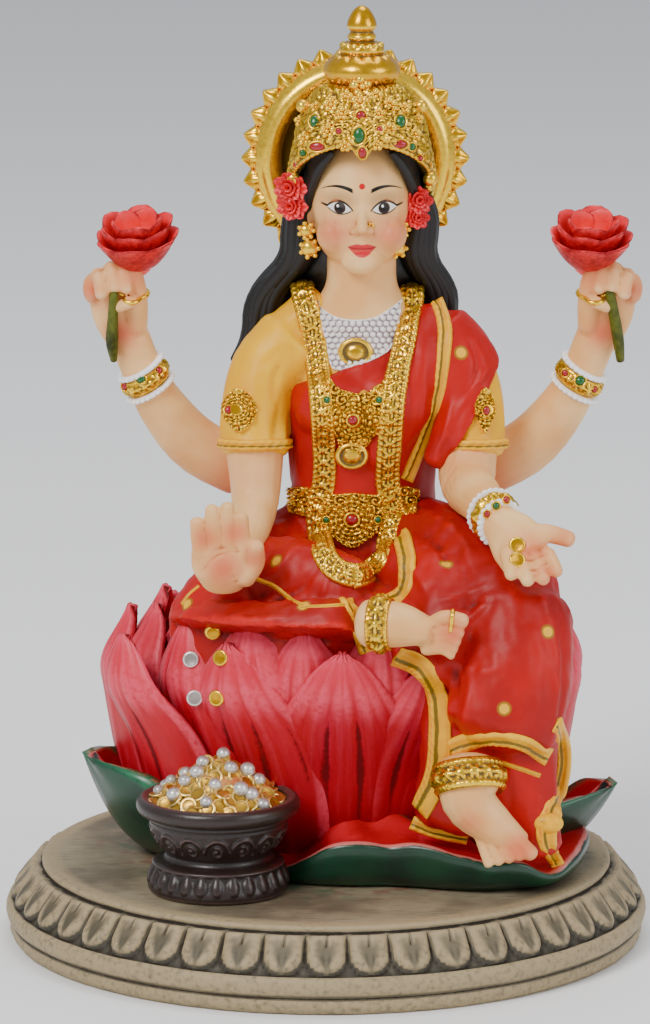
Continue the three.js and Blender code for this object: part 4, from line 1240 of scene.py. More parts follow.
def make_drape():
    bm = fresh()
    limb(bm, mirrored(fuller(SLEEVE, 1.1)), tip=0.25, sides=24)
    limb(bm, mirrored(fuller(SHOULDER, 0.6)), tip=0.25, sides=24)
    trimmed(bm, (27.4, 0, 82), (0.85, 0.1, -0.53))
    limb(bm, fuller(TRUNK[:-1], 0.8), tip=0.3, sides=32)
    for side in (-1, 1):
        ball(bm, (6.2 + 4.6 * side, -2.8, 78.8), (7.4, 6.8, 6.4))
    trimmed(bm, (-6.6, 0, 81.4), (-0.42, -0.1, 1))
    limb(bm, [(9, -3.4, 70, 4, 4), (13.4, -4.4, 80, 4.4, 4), (16.4, -1, 89, 4.2, 4), (16.8, 4, 92, 4, 3.4),
              (16, 9, 86, 4, 2.4)], tip=0.6)
    limb(bm, [(16.6, 3, 90.4, 5, 4.6), (21.2, 2.4, 87, 5, 6.4), (24.6, 1.4, 81.6, 3.4, 6)], tip=0.6)
    limb(bm, [(24.6, -1.6, 82, 3, 4.4), (21.6, -4, 76, 3, 3.2), (18.4, -5.6, 69.6, 2.2, 2.2)], tip=0.7)
    skin = melted(bm, 0.5, 9)
    dots = skin.verts.layers.float.new("dot")
    dot = thrown(tree_of(skin), *SHOULDER_DOT)[0]
    for vert in skin.verts:
        vert[dots] = (vert.co - dot).length
    creases = [
        ([(23.8, 92.2), (25.1, 87.9), (23.1, 82.2)], 0.6, -0.5),
        ([(26.8, 87.6), (23.8, 82.9), (19.9, 75.5)], 0.6, 0.55),
        ([(26.1, 85.6), (22.8, 80.9), (18.9, 72.8)], 0.5, -0.5),
        ([(20.8, 82.2), (19.9, 77.2), (17.9, 71.1)], 0.6, 0.45),
        ([(14.8, 90.6), (13.9, 82.2), (12.9, 73.8)], 0.7, -0.3),
        ([(16.2, 92.2), (16.2, 82.2), (14.6, 73.8)], 0.7, 0.3),
        ([(-4.3, 82.2), (-4.3, 75.5), (-5.0, 68.7)], 0.8, 0.35),
        ([(-6.3, 77.2), (-5.6, 70.4), (-6.3, 65.4)], 0.6, -0.35),
        ([(0.7, 84.9), (5.0, 82.9), (9.6, 85.6)], 0.6, -0.25),
    ]
    carve(skin, folds(tree_of(skin), creases))
    ripple(skin, 0.12)
    return skin


def yellow_body(tree):
    place = object_place(tree)
    yellow = blend(tree, fade(tree, cloud(tree, place, 90, 2), 0.3, 0.7), tone("E6A400"), tone("F4B600"))
    return blend(tree, fade(tree, cloud(tree, place, 600, 3), 0.62, 0.78, 0, 0.35), yellow, tone("D48600"))


blouse_paint = painted("blouse paint", yellow_body, tone("A86A02"), tone("FFCC10"), wash_and_shade_depth=4.5,
                       edge_height=5, mottle=0.08, roughness=0.42, bump=0.12)
blouse = finished(make_blouse(), "blouse", blouse_paint, rounds=16)
drape = finished(make_drape(), "drape", sari_paint, rounds=16)

# %% [markdown]
# ## The head
# The head is an egg with a neck, and the features are strokes on it: sockets pressed in, lids and lips
# raised, a crease for each lid. Proportions are the usual ones: eyes at half height, one eye's width between
# the eyes, mouth a third of the way from nose to chin. The rest is paint, so brows, eyes and lips are masks
# in the material, drawn on one half of the face and mirrored.

# %% Model the head
HEAD_X = 6.0
EYE = (3.75, 112.2)
MOUTH_Z = 105.5
NOSE_Z = 108.4


def both_sides(points):
    return [[(HEAD_X + side * across, y, z) for across, y, z in points] for side in (-1, 1)]


def make_head():
    bm = fresh()
    x = HEAD_X
    ball(bm, (x, 2, 113.2), (8.7, 9.2, 11.2), 40, 30)
    ball(bm, (x, 1.2, 108), (7.8, 8.3, 7.0), 40, 30)
    ball(bm, (x, -4.4, 103.2), (3.6, 3.0, 2.4), 28, 20)
    limb(bm, [(x, 3.4, 91, 11.4, 6.2), (x, 3, 94.4, 8.4, 6), (x, 2.6, 97.4, 6.4, 5.6),
              (x, 2.4, 103, 5.8, 5.6)], tip=0.3, sides=36, rings=30)
    limb(bm, [(x, -6.0, 114.4, 0.7), (x, -7.2, 111.2, 0.8), (x, -8.2, NOSE_Z + 0.6, 1.05)], tip=0.8)
    for side in (-1, 1):
        ball(bm, (x + side * 1.25, -7.1, NOSE_Z + 0.2), (0.85, 1.0, 0.75))
        ball(bm, (x + side * 8.6, 1.8, 110.6), (0.9, 1.6, 2.7))
        ball(bm, (x + side * 4.7, -2.6, 107.4), (2.9, 3.7, 3.2))
    skin = melted(bm, 0.27, 4)
    ex, ez = EYE
    strokes = []
    for line in both_sides([(1.6, -6.4, ez + 0.4), (ex, -6.2, ez + 0.5), (6.2, -5, ez)]):
        strokes.append((line, 1.5, -0.75))
    for line in both_sides([(ex - 1.9, -6, ez), (ex, -6, ez + 0.1), (ex + 1.9, -5, ez)]):
        strokes.append((line, 1.05, 0.75))
    for line in both_sides([(ex - 2.1, -6, ez + 0.6), (ex, -6, ez + 1.55), (ex + 2.3, -5, ez + 0.7)]):
        strokes.append((line, 0.3, -0.25))
    for line in both_sides([(ex - 2, -6, ez - 0.5), (ex, -6, ez - 1.2), (ex + 2, -5, ez - 0.3)]):
        strokes.append((line, 0.3, -0.16))
    for line in both_sides([(1.4, -7, ez + 2.8), (4.4, -6, ez + 3.8), (6.8, -4, ez + 2.4)]):
        strokes.append((line, 0.8, 0.25))
    for line in both_sides([(4.4, -6, 108.6), (5.4, -4.6, 107.6)]):
        strokes.append((line, 2.0, 0.5))
    for line in both_sides([(2.2, -7, NOSE_Z), (1.9, -7, NOSE_Z - 0.8)]):
        strokes.append((line, 0.35, -0.3))
    for line in both_sides([(0.2, -7.4, MOUTH_Z + 0.6), (1.1, -7.2, MOUTH_Z + 0.55),
                            (2.1, -6.6, MOUTH_Z + 0.1)]):
        strokes.append((line, 0.5, 0.4))
    strokes.append(([(x - 1.5, -7, MOUTH_Z - 0.75), (x, -7.4, MOUTH_Z - 0.95),
                     (x + 1.5, -7, MOUTH_Z - 0.75)], 0.6, 0.5))
    strokes.append(([(x - 2.5, -6.4, MOUTH_Z + 0.1), (x, -7.4, MOUTH_Z - 0.1),
                     (x + 2.5, -6.4, MOUTH_Z + 0.1)], 0.24, -0.4))
    strokes.append(([(x, -7.2, NOSE_Z - 1), (x, -7.2, MOUTH_Z + 1.1)], 0.35, -0.18))
    strokes.append(([(x - 1.2, -6.6, MOUTH_Z - 2.1), (x + 1.2, -6.6, MOUTH_Z - 2.1)], 0.7, -0.3))
    strokes.append(([(x - 0.8, -6, 102.9), (x + 0.8, -6, 102.9)], 1.3, 0.45))
    strokes.append(([(x - 3.4, -3.4, 98.6), (x, -3.4, 97.8), (x + 3.4, -3.4, 98.6)], 0.3, -0.14))
    carve(skin, strokes)
    return skin


# %% [markdown]
# The face's paint is made of simple regions in millimetres: across, from the face's middle line, and up.
# Each is a soft comparison, so its edge is as sharp as a fine brush leaves it.

# %% Paint the skin and the face
def flat_coordinates(tree):
    """Across from the face's middle, the same signed, depth and height above the plinth, in grid units."""
    split = tree.nodes.new("ShaderNodeSeparateXYZ")
    tree.links.new(object_place(tree), split.inputs[0])
    unit = 1 / (MM * GRID)
    signed = maths(tree, "MULTIPLY_ADD", split.outputs[0], unit, -HEAD_X)
    depth = maths(tree, "MULTIPLY", split.outputs[1], unit)
    up = maths(tree, "MULTIPLY_ADD", split.outputs[2], unit, -plinth_high.z * unit)
    return maths(tree, "ABSOLUTE", signed), signed, depth, up


def spot(tree, across, up, centre, radii, soft):
    """1 inside an oval, falling to 0 outside it."""
    a = maths(tree, "DIVIDE", maths(tree, "SUBTRACT", across, centre[0]), radii[0])
    b = maths(tree, "DIVIDE", maths(tree, "SUBTRACT", up, centre[1]), radii[1])
    out = maths(tree, "SQRT", maths(tree, "ADD", maths(tree, "MULTIPLY", a, a),
                                    maths(tree, "MULTIPLY", b, b)))
    return fade(tree, out, 1 - soft, 1 + soft, 1, 0)


def between(tree, value, low, high, soft=0.07):
    below = fade(tree, maths(tree, "SUBTRACT", value, low), -soft, soft)
    above = fade(tree, maths(tree, "SUBTRACT", high, value), -soft, soft)
    return maths(tree, "MULTIPLY", below, above)


def hump(tree, across, centre, half, rise):
    """rise at the centre, falling like a parabola to 0 at half away, and below 0 beyond."""
    t = maths(tree, "DIVIDE", maths(tree, "SUBTRACT", across, centre), half)
    return maths(tree, "MULTIPLY_ADD", maths(tree, "MULTIPLY", t, t), -rise, rise)


def skin_body(tree):
    place = object_place(tree)
    body = blend(tree, fade(tree, cloud(tree, place, 120, 2), 0.3, 0.7), tone("EAAC66"), tone("F6C684"))
    blush = maths(tree, "MULTIPLY", kept(tree, "blush"), 0.9)
    return blend(tree, blush, body, tone("DE6440"))


def face_body(tree):
    across, signed, depth, up = flat_coordinates(tree)
    front = fade(tree, depth, -4.5, -1.5, 1, 0)
    ex, ez = EYE
    colour = skin_body(tree)
    cheek = spot(tree, across, up, (4.9, 108.0), (3.0, 2.5), 0.95)
    colour = blend(tree, maths(tree, "MULTIPLY", cheek, 0.62), colour, tone("DB5A48"))
    # A soft brown over each eye socket: painted shade.
    lid = spot(tree, across, up, (ex, ez + 1.5), (2.8, 1.5), 0.6)
    colour = blend(tree, maths(tree, "MULTIPLY", lid, 0.45), colour, tone("8A5A2A"))
    slope = maths(tree, "MULTIPLY_ADD", across, 0.1, ez - 0.1 * ex)
    top = maths(tree, "ADD", slope, maths(tree, "MAXIMUM", hump(tree, across, ex, 2.1, 1.15),
                                          maths(tree, "MULTIPLY_ADD", across, 0.22, -0.22 * (ex + 1.7))))
    bottom = maths(tree, "SUBTRACT", slope, hump(tree, across, ex, 2.1, 0.85))
    white = between(tree, up, bottom, top)
    within = between(tree, across, ex - 2.15, ex + 2.1, 0.1)
    colour = blend(tree, maths(tree, "MULTIPLY", white, within), colour, tone("F0EADC"))
    for radius, paint in ((0.98, "2A1408"), (0.5, "050303")):
        iris = spot(tree, across, up, (ex - 0.05, ez + 0.12), (radius, radius), 0.08)
        colour = blend(tree, maths(tree, "MULTIPLY", iris, white), colour, tone(paint))
    glint = spot(tree, maths(tree, "ABSOLUTE", maths(tree, "ADD", signed, 0.3)), up, (ex, ez + 0.45),
                 (0.2, 0.22), 0.2)
    colour = blend(tree, maths(tree, "MULTIPLY", glint, white), colour, tone("FFFFFF"))
    kohl = between(tree, up, maths(tree, "SUBTRACT", top, 0.1), maths(tree, "ADD", top, 0.3))
    kohl = maths(tree, "MULTIPLY", kohl, between(tree, across, ex - 2.3, ex + 3.1, 0.15))
    under = between(tree, up, maths(tree, "SUBTRACT", bottom, 0.16), maths(tree, "ADD", bottom, 0.07))
    under = maths(tree, "MULTIPLY", under, between(tree, across, ex - 2.0, ex + 2.0, 0.15))
    arc = maths(tree, "ADD", hump(tree, across, ex + 0.5, 3.1, 1.0), ez + 2.75)
    thick = fade(tree, across, 1.4, 7.0, 0.36, 0.06)
    brow = between(tree, up, maths(tree, "SUBTRACT", arc, thick), maths(tree, "ADD", arc, thick))
    brow = maths(tree, "MULTIPLY", brow, between(tree, across, 1.5, 6.8, 0.25))
    for mask in (kohl, under, brow):
        colour = blend(tree, mask, colour, tone("0A0605"))
    smile = maths(tree, "MULTIPLY_ADD", maths(tree, "MULTIPLY", across, across), 0.05, MOUTH_Z - 0.05)
    bow = maths(tree, "MULTIPLY", spot(tree, across, up, (0, MOUTH_Z + 1), (0.5, 2), 0.9), -0.22)
    upper = maths(tree, "ADD", maths(tree, "ADD", smile, hump(tree, across, 0, 2.5, 0.95)), bow)
    lower = maths(tree, "SUBTRACT", smile, hump(tree, across, 0, 2.3, 1.35))
    lips = between(tree, up, lower, upper, 0.1)
    colour = blend(tree, lips, colour, tone("D23038"))
    seam = maths(tree, "MULTIPLY", between(tree, up, maths(tree, "SUBTRACT", smile, 0.09),
                                           maths(tree, "ADD", smile, 0.09)),
                 fade(tree, across, 2.2, 2.5, 1, 0))
    colour = blend(tree, maths(tree, "MULTIPLY", seam, 0.8), colour, tone("7A1018"))
    mark = spot(tree, across, up, (0, 116.0), (0.5, 0.5), 0.15)
    colour = blend(tree, mark, colour, tone("C80A10"))
    bare = skin_body(tree)
    return blend(tree, front, bare, colour)


def skin_coat(name, body):
    return painted(name, body, tone("BC6A34"), tone("FADCA8"), wash_and_shade_depth=2.2, edge_height=5, mottle=0.03,
                   roughness=0.42, bump=0.05, glow=0.12)


skin_paint = skin_coat("skin paint", skin_body)
face_paint = skin_coat("face paint", face_body)
head = finished(make_head(), "head", face_paint, rounds=8)


# %% [markdown]
# The hair is drawn back from a bare forehead under the crown, goes behind the ears and falls in waves behind
# the shoulders and down the back. It is many locks over a plain mass. Each lock is a limb on a wavy line, and
# neighbours wave together.

# %% Comb the hair
SIDE_PATHS = {
    -1: [(9.2, 3.6, 112.5), (11.2, 5.6, 104), (14.2, 8.0, 97), (17.6, 9.4, 90.4), (18.4, 10.2, 84)],
    1: [(9.2, 3.6, 112.5), (10.2, 5.6, 104), (11.6, 8.0, 97.6), (13.4, 9.6, 91), (14.6, 10.4, 84)],
}


def make_hair():
    bm = fresh()
    x = HEAD_X
    ball(bm, (x, 5.6, 114.6), (9.7, 9.0, 10.4), 40, 30)
    limb(bm, [(x, 8, 119, 8.4, 5.4), (x, 10.2, 106, 10.4, 4.6), (x, 11, 92, 14.2, 3.8),
              (x, 11.4, 77, 12.2, 3.2), (x, 11.6, 67, 7, 2.4)], sides=40, rings=40)
    rng = np.random.default_rng(5)
    along = np.linspace(0, 1, 11)
    for side, points in SIDE_PATHS.items():
        path = smooth_line(points, 11)
        for i in range(10):
            share = i / 9
            turn = share * math.pi * 1.15 - 0.5
            wave = 0.75 * np.sin(along * 13 + 0.9 * share + rng.uniform(-0.25, 0.25))
            across = path[:, 0] + (2.1 * np.cos(turn) + wave) * (0.8 + 0.5 * along)
            deep = path[:, 1] - 2.8 * np.sin(turn) + 0.4 * wave
            size = rng.uniform(0.85, 1.15) * np.interp(along, [0, 0.5, 1], [1.1, 1.3, 0.8])
            limb(bm, list(zip(x + side * across, deep, path[:, 2], size)), sides=8, rings=38, tip=0.8)
    for i in range(25):
        spread = (i - 12) / 12
        path = smooth_line([(7 * spread, 12.4 - 3 * spread**2, 118),
                            (10 * spread, 14.6 - 3 * spread**2, 106),
                            (14.2 * spread, 14.8 - 3 * spread**2, 92),
                            (12.4 * spread, 14.6 - 3 * spread**2, 78),
                            (7.5 * spread, 13.6 - 1.5 * spread**2, 65.5 + 3 * spread**2)], 11)
        wave = 0.5 * np.sin(along * 11 + 3 * abs(spread) + rng.uniform(-0.3, 0.3))
        size = rng.uniform(0.85, 1.1) * np.interp(along, [0, 0.5, 1], [0.9, 1.15, 0.6])
        limb(bm, list(zip(x + path[:, 0] + wave, path[:, 1], path[:, 2], size)), sides=8, rings=40, tip=0.8)
    for side in (-1, 1):
        for i in range(6):
            back = 0.9 * i
            lock = [(5.2 + 0.5 * i, -5.4 + 0.4 * i, 121.4, 0.7),
                    (7.2 + 0.3 * i, -4.1 + 0.7 * i, 118.4, 0.85),
                    (8.6 + 0.1 * i, -1.7 + back, 114.6, 0.9), (9.2 + 0.1 * i, 1.4 + 0.6 * i, 110.4, 0.7)]
            limb(bm, [(x + side * across, *rest) for across, *rest in lock], sides=8, rings=24, tip=0.8)
    return bm


def hair_body(tree):
    streaks = cloud(tree, object_place(tree), 900, 3, stretch=(1, 1, 0.12))
    return blend(tree, fade(tree, streaks, 0.52, 0.72, 0, 0.8), tone("100E0C"), tone("3A352E"))


hair_paint = painted("hair paint", hair_body, tone("030303"), tone("4A443C"), wash_and_shade_depth=3, edge_height=8,
                     mottle=0.1, roughness=0.38, bump=0.1, gloss=0.1)
finished(make_hair(), "hair", hair_paint, rounds=6)

# %% [markdown]
# ## Skin
# Arms and feet are limbs melted together with separate fingers and toes, then carved with the few strokes
# that a mould this small can hold: the creases of the palms, and one behind the toes of each foot. Where the
# painter sprayed blush, the points keep how much of it they get.

# %% Model the front arms and hands
def fingers(bm, tips, knuckles, radius=1.35):
    for tip, knuckle in zip(tips, knuckles):
        middle = [(a + b) / 2 for a, b in zip(tip, knuckle)]
        limb(bm, [(*knuckle, radius * 1.08), (*middle, radius), (*tip, radius * 0.86)], sides=12, rings=14,
             tip=0.8)


def make_front_arms():
    bm = fresh()
    limb(bm, [(-12, -2, 71, 5, 5), (-12, -5, 62, 4, 4), (-13.4, -12, 57.4, 3.4, 3.4),
              (-16.4, -21.4, 53, 2.9, 2.8)])
    limb(bm, [(-17, -22, 51.6, 3.6, 2.4), (-17, -23.6, 54.4, 5.2, 2.5), (-17.1, -24.2, 57.6, 5.3, 2.1)],
         tip=0.5)
    fingers(bm, [(-21.4, -25.2, 62.6), (-18.9, -25.4, 64.8), (-16.3, -25.4, 65.2), (-13.9, -25.1, 63.4)],
            [(-20.7, -24.6, 57.2), (-18.4, -24.8, 57.8), (-16, -24.8, 57.8), (-13.8, -24.5, 57)])
    limb(bm, [(-13.6, -23.4, 53.2, 2.1), (-11.8, -24.2, 55.6, 1.7), (-11.6, -25.6, 58.6, 1.4)], tip=0.8)
    limb(bm, [(24, -2, 71, 5, 5), (23.8, -6, 66, 4.8, 4.8), (25.6, -14, 64.4, 4, 4),
              (28.4, -22.6, 62.6, 3.2, 3.2)])
    limb(bm, [(28.6, -23, 62.2, 3.1, 2.9), (31, -26, 60, 4.6, 2.4), (33, -28.4, 57.6, 4.7, 2)], tip=0.5)
    fingers(bm, [(30.4, -33.2, 55.4), (33, -34.2, 54.6), (35.6, -34, 54.8), (37.8, -32.6, 55.8)],
            [(30, -29, 58), (32.2, -29.6, 57.2), (34.4, -29.6, 57.2), (36.4, -28.8, 57.8)])
    limb(bm, [(32.8, -26, 60.6, 1.9), (36.6, -26.8, 61, 1.6), (40, -27.4, 60.2, 1.4)], tip=0.8)
    skin = melted(bm, 0.32, 2)
    creases = [
        ([(-21.0, 52.7), (-18.3, 55.9), (-14.3, 56.6)], 0.35, -0.35),
        ([(-20.3, 55.2), (-17.6, 57.2), (-14.6, 57.2)], 0.3, -0.25),
        ([(-14.3, 49.8), (-15.6, 53.5), (-14.6, 56.6)], 0.35, -0.4),
        ([(31.3, 55.9), (33.9, 55.2), (36.9, 56.6)], 0.3, -0.3),
        ([(32.3, 54.2), (34.6, 53.5), (37.2, 55.2)], 0.3, -0.25),
    ]
    carve(skin, folds(tree_of(skin), creases))
    return rosy(skin, [(-17, -26, 55, 3.4), (-20, -27, 60, 2.4), (-15, -27, 61, 2.4), (-11.6, -25, 57, 2.4),
                       (34, -29, 58, 3.2), (36, -33, 55, 2.4), (39, -27, 60, 2.4), (-12, -3, 66, 3.5),
                       (24, -5, 68, 3.5)])


def rosy(skin, spots):
    """Keeps on every point how much of the sprayed blush it gets: spots are (x, y, z, radius)."""
    layer = skin.verts.layers.float.new("blush")
    place = positions(skin.verts)
    amount = np.zeros(len(place))
    for x, y, z, radius in spots:
        amount = np.maximum(amount, np.exp(-((place - (x, y, z)) ** 2).sum(1) / radius**2))
    for vert, value in zip(skin.verts, amount):
        vert[layer] = value
    return skin


def make_raised_arms():
    bm = fresh()
    for side in (lambda rows: rows, mirrored):
        limb(bm, side([(-4, 8, 86, 5, 5), (-10, 9.4, 74, 5, 5), (-13.6, 9.8, 67.4, 5, 4.8)]))
        limb(bm, side([(-15.0, 9.8, 65.4, 5, 4.8), (-21.8, 8.8, 69.2, 4.9, 4.6), (-28, 7, 76.6, 4.2, 4),
                       (-31.2, 5.2, 83, 3.5, 3.3), (-33.2, 4, 88.4, 3.6, 2.8)]), tip=0.5)
        limb(bm, side([(-33.4, 4.2, 88, 3.5, 2.7), (-34.8, 3.4, 92.6, 4.6, 2.9),
                       (-35.6, 2.8, 97, 4.7, 3.0)]))
        ball(bm, side([(-39.4, 1.6, 97.6)])[0], (1.7, 2.2, 2.7))
        for x, top in ((-38.6, 100.4), (-36.4, 101.6), (-34.4, 101.4)):
            limb(bm, side([(x, 2.6, 96, 1.45), (x + 0.1, 0.6, top - 1, 1.4), (x + 0.4, -1.4, top, 1.3),
                           (x + 0.9, -2.6, top - 3.2, 1.2)]), sides=12, rings=20, tip=0.8)
        limb(bm, side([(-32.2, 2.6, 91.4, 2.1), (-31.9, 0.8, 95.6, 1.9), (-32.1, -0.6, 99, 1.7),
                       (-32.6, -1.2, 101.4, 1.5)]),
             tip=0.8)
        limb(bm, side([(-35, -1.6, 95.0, 1.1), (-33.2, -2.2, 95.6, 1.0), (-32.2, -2.0, 96, 0.9)]), tip=0.8)
    skin = melted(bm, 0.42, 2)
    spots = []
    for side in (lambda rows: rows, mirrored):
        spots += side([(-40, -1, 97, 3.4), (-33, -1, 100, 3.2), (-34.4, 1, 90, 3.0), (-14, 8, 64, 6.0)])
    return rosy(skin, spots)


def make_feet():
    bm = fresh()
    limb(bm, [(7, -31, 46.8, 4, 4), (12.4, -32.6, 46.8, 3.7, 3.5), (16.6, -33.4, 46.0, 2.4, 3.3)],
         facing=(0, -1, 0))
    limb(bm, [(23.6, -31, 22, 5.6, 5.2), (23.8, -33, 17, 4.6, 4.2), (27.4, -33.6, 13.4, 3.6, 3.2),
              (31.6, -34.2, 10, 2.6, 2)])
    for i, (drop, radius) in enumerate([(0, 1.25), (2.0, 0.95), (3.4, 0.88), (4.7, 0.8), (5.8, 0.72)]):
        z = 48.2 - drop
        limb(bm, [(16.4, -33.6, 46.6 - 0.6 * drop, 1.2), (19.6, -34.6, z + 0.4, radius),
                  (22.4 - 0.45 * i, -34.9, z - 0.2, radius * 1.05)], sides=12, rings=14, tip=0.8)
    for i, radius in enumerate([1.35, 1.0, 0.95, 0.9, 0.82]):
        limb(bm, [(29.6 - 1.1 * i, -34.0, 12.8 - 0.3 * i, radius),
                  (33.8 - 1.75 * i, -36.0, 9.0 - 0.45 * i, radius)], sides=12, rings=14, tip=0.8)
    skin = melted(bm, 0.32, 2)
    carve(skin, [([(19.2, -36, 48.9), (23, -36, 47.6)], 0.3, -0.2),
                 ([(30, -36.4, 12.6), (33, -37, 9)], 0.3, -0.15)])
    return rosy(skin, [(21, -35, 46, 3.0), (32, -36, 9.6, 3.2), (24, -35, 15, 2.5)])


front_arms = finished(make_front_arms(), "front_arms", skin_paint, rounds=10)
raised_arms = finished(make_raised_arms(), "raised_arms", skin_paint, rounds=10)
feet = finished(make_feet(), "feet", skin_paint, rounds=10)

# %% [markdown]
# ## Crown and halo
# Both are turned. The crown's profile runs from the brim up the chased band, over the cushion and the collar
# to the bud at the top, and its relief is raised on it by formula: beads along the brim, tendrils and
# florets above. The brim arches over the forehead, where it has a small point, and drops to the ears. Behind,
# the crown is flat, because it stands against the halo.

# %% Raise relief on turned shapes
def embossed(verts, rows, centre, relief):
    """Moves the points of a turned shape along its normals by relief(angle, arc length, radius)."""
    rows = np.asarray(rows, float)
    steps = np.linalg.norm(np.diff(rows, axis=0), axis=1)
    lengths = np.concatenate([[0], np.cumsum(steps)])
    tangent = unit_rows(np.gradient(rows, axis=0))
    place = positions(verts)
    x, y = place[:, 0] - centre[0], place[:, 1] - centre[1]
    radius = np.hypot(x, y)
    angle = np.arctan2(x, -y)
    nearest = ((radius[:, None] - rows[None, :, 0]) ** 2 + (place[:, 2][:, None]
                                                            - rows[None, :, 1]) ** 2).argmin(1)
    rise = relief(angle, lengths[nearest], radius)
    out_r, out_z = tangent[nearest, 1], -tangent[nearest, 0]
    radius = radius + rise * out_r
    height = place[:, 2] + rise * out_z
    return angle, lengths[nearest], np.column_stack([centre[0] + radius * np.sin(angle),
                                                     centre[1] - radius * np.cos(angle), height])


CROWN_AXIS = (6.0, 3.0)
BRIM_LEAN = 5.8
BRIM_DROP = 2.8
BAND_TOP = 17.4
CROWN_BACK = 12.6


def crown_relief(angle, s, radius):
    u = angle * 11.4
    beads = bead_row(u, s, 0.95, 0.46, 1.2)
    band_field = (s > 1.9) & (s < BAND_TOP)
    field = filigree(u * np.minimum(radius / 11.4, 1), s - 2.6, 1.75, 0.62) * band_field
    collar = bead_row(angle * 5.4, s, 0.95, 0.46, BAND_TOP + 0.7)
    gadroons = 0.35 * np.abs(np.sin(7 * angle)) * np.exp(-(((s - 24.6) / 1.0) ** 2))
    neck = bead_row(angle * 2.4, s, 0.95, 0.42, 27.6)
    return np.maximum.reduce([beads, field, collar, gadroons, neck])


def make_crown():
    bm = fresh()
    profile = [(11.2, 117.6), (11.9, 117.3), (12.1, 118.6), (11.8, 120.6), (11.1, 123.4), (10.4, 126),
               (9.4, 128.2), (7.9, 130.2), (6.3, 131.6), (4.9, 132.1), (5.6, 132.6), (6.3, 133.6),
               (6.4, 134.8), (5.7, 136), (4.4, 136.7), (3.4, 137), (3.8, 137.7), (3.7, 138.4), (2.6, 139),
               (2.0, 139.3), (2.5, 139.9), (2.3, 140.4), (1.9, 140.8), (2.5, 141.6), (2.4, 142.6),
               (1.9, 143.7), (1.2, 144.7), (0.4, 145.2)]
    rows = smooth_line([(r, h, 0) for r, h in profile], 110)[:, :2]
    verts = turned(bm, [(0, 121), (10, 121), (10.6, 117.8)] + [tuple(row) for row in rows] + [(0, 145.3)],
                   210, CROWN_AXIS)
    angle, _, place = embossed(verts, rows, CROWN_AXIS, crown_relief)
    low = 1 - ease(place[:, 2], 118, 130)
    front = np.exp(-((place[:, 0] - HEAD_X) / 1.5) ** 2) * (place[:, 1] < 0)
    ahead = np.maximum(np.cos(angle), -0.3)
    place[:, 2] += low * (BRIM_LEAN * ahead - BRIM_DROP * (1 - ahead) - 2.4 * front)
    place[:, 1] = np.minimum(place[:, 1], CROWN_BACK)
    move_to(verts, place)
    for side in (-1, 1):
        for across, deep, up, size in ((9.9, 0.4, 128.6, 1.15), (11.5, -1.2, 116.6, 1.25),
                                       (11.2, 0.6, 114.9, 0.8)):
            ball(bm, (HEAD_X + side * across, deep, up), (size, size, size))
    return bm


# %% Turn the halo and set its teeth
HALO_CENTRE = (5.0, 12.0, 118.4)
TEETH = 30


def make_halo():
    bm = fresh()
    section = [(0, -0.3), (9, -0.2), (11.6, 0.1), (12.3, 0.7), (12.7, 1.7), (13.6, 2.7), (14.8, 3.0),
               (15.9, 2.6), (16.8, 1.5), (17.3, 0.5), (17.4, -0.6), (16.4, -1.3), (0, -1.3)]
    turned(bm, section, 150)
    for i in range(TEETH):
        turn = Matrix.Rotation((i + 0.5) * 2 * math.pi / TEETH, 3, "Z")
        made = bmesh.ops.create_grid(bm, x_segments=12, y_segments=12, size=0.5)["verts"]
        flat = positions(made) * 2
        a, v = flat[:, 0], (flat[:, 1] + 1) / 2
        half = 1.6 * (1 - v**3.4) * (1 - 0.16 * np.cos(8 * v)) + 0.1
        swell = 1.25 * (1 - a**2) ** 0.5 * (1 - 0.75 * v**2)
        veins = 0.3 * np.abs(np.sin(2.2 * math.pi * a)) * (1 - v) + 0.35 * np.exp(-((a / 0.2) ** 2))
        local = np.column_stack([a * half, 16.6 + 2.8 * v, 0.1 + swell * (0.7 + veins)])
        move_to(made, [turn @ Vector(place) for place in local])
        wall = bmesh.ops.extrude_edge_only(bm, edges=rim_of(made))["geom"]
        skirt = [item for item in wall if isinstance(item, bmesh.types.BMVert)]
        for vert in skirt:
            vert.co.z = -0.9
        bmesh.ops.holes_fill(bm, edges=rim_of(skirt), sides=0)
    bmesh.ops.recalc_face_normals(bm, faces=bm.faces)
    bmesh.ops.rotate(bm, matrix=Matrix.Rotation(math.pi / 2, 3, "X"), verts=bm.verts)
    bmesh.ops.translate(bm, vec=HALO_CENTRE, verts=bm.verts)
    return bm


crown = finished(make_crown(), "crown", gold_paint, rounds=5)
finished(make_halo(), "halo", gold_paint, rounds=5)

# %% [markdown]
# ## The pot of coins
# The pot is turned too. Its carving is raised on the turned shape by its angle and height: scalloped arches
# with a small scroll in each low on the bowl, two grooves under the thick rolled rim, a waist, and a foot
# with a row of upright ovals. The heap is a low cone under coins laid in a sunflower spiral, which spreads
# them evenly, with beads of silver between them.

# %% Turn the pot and fill it
ARCHES = 15
OVALS = 26


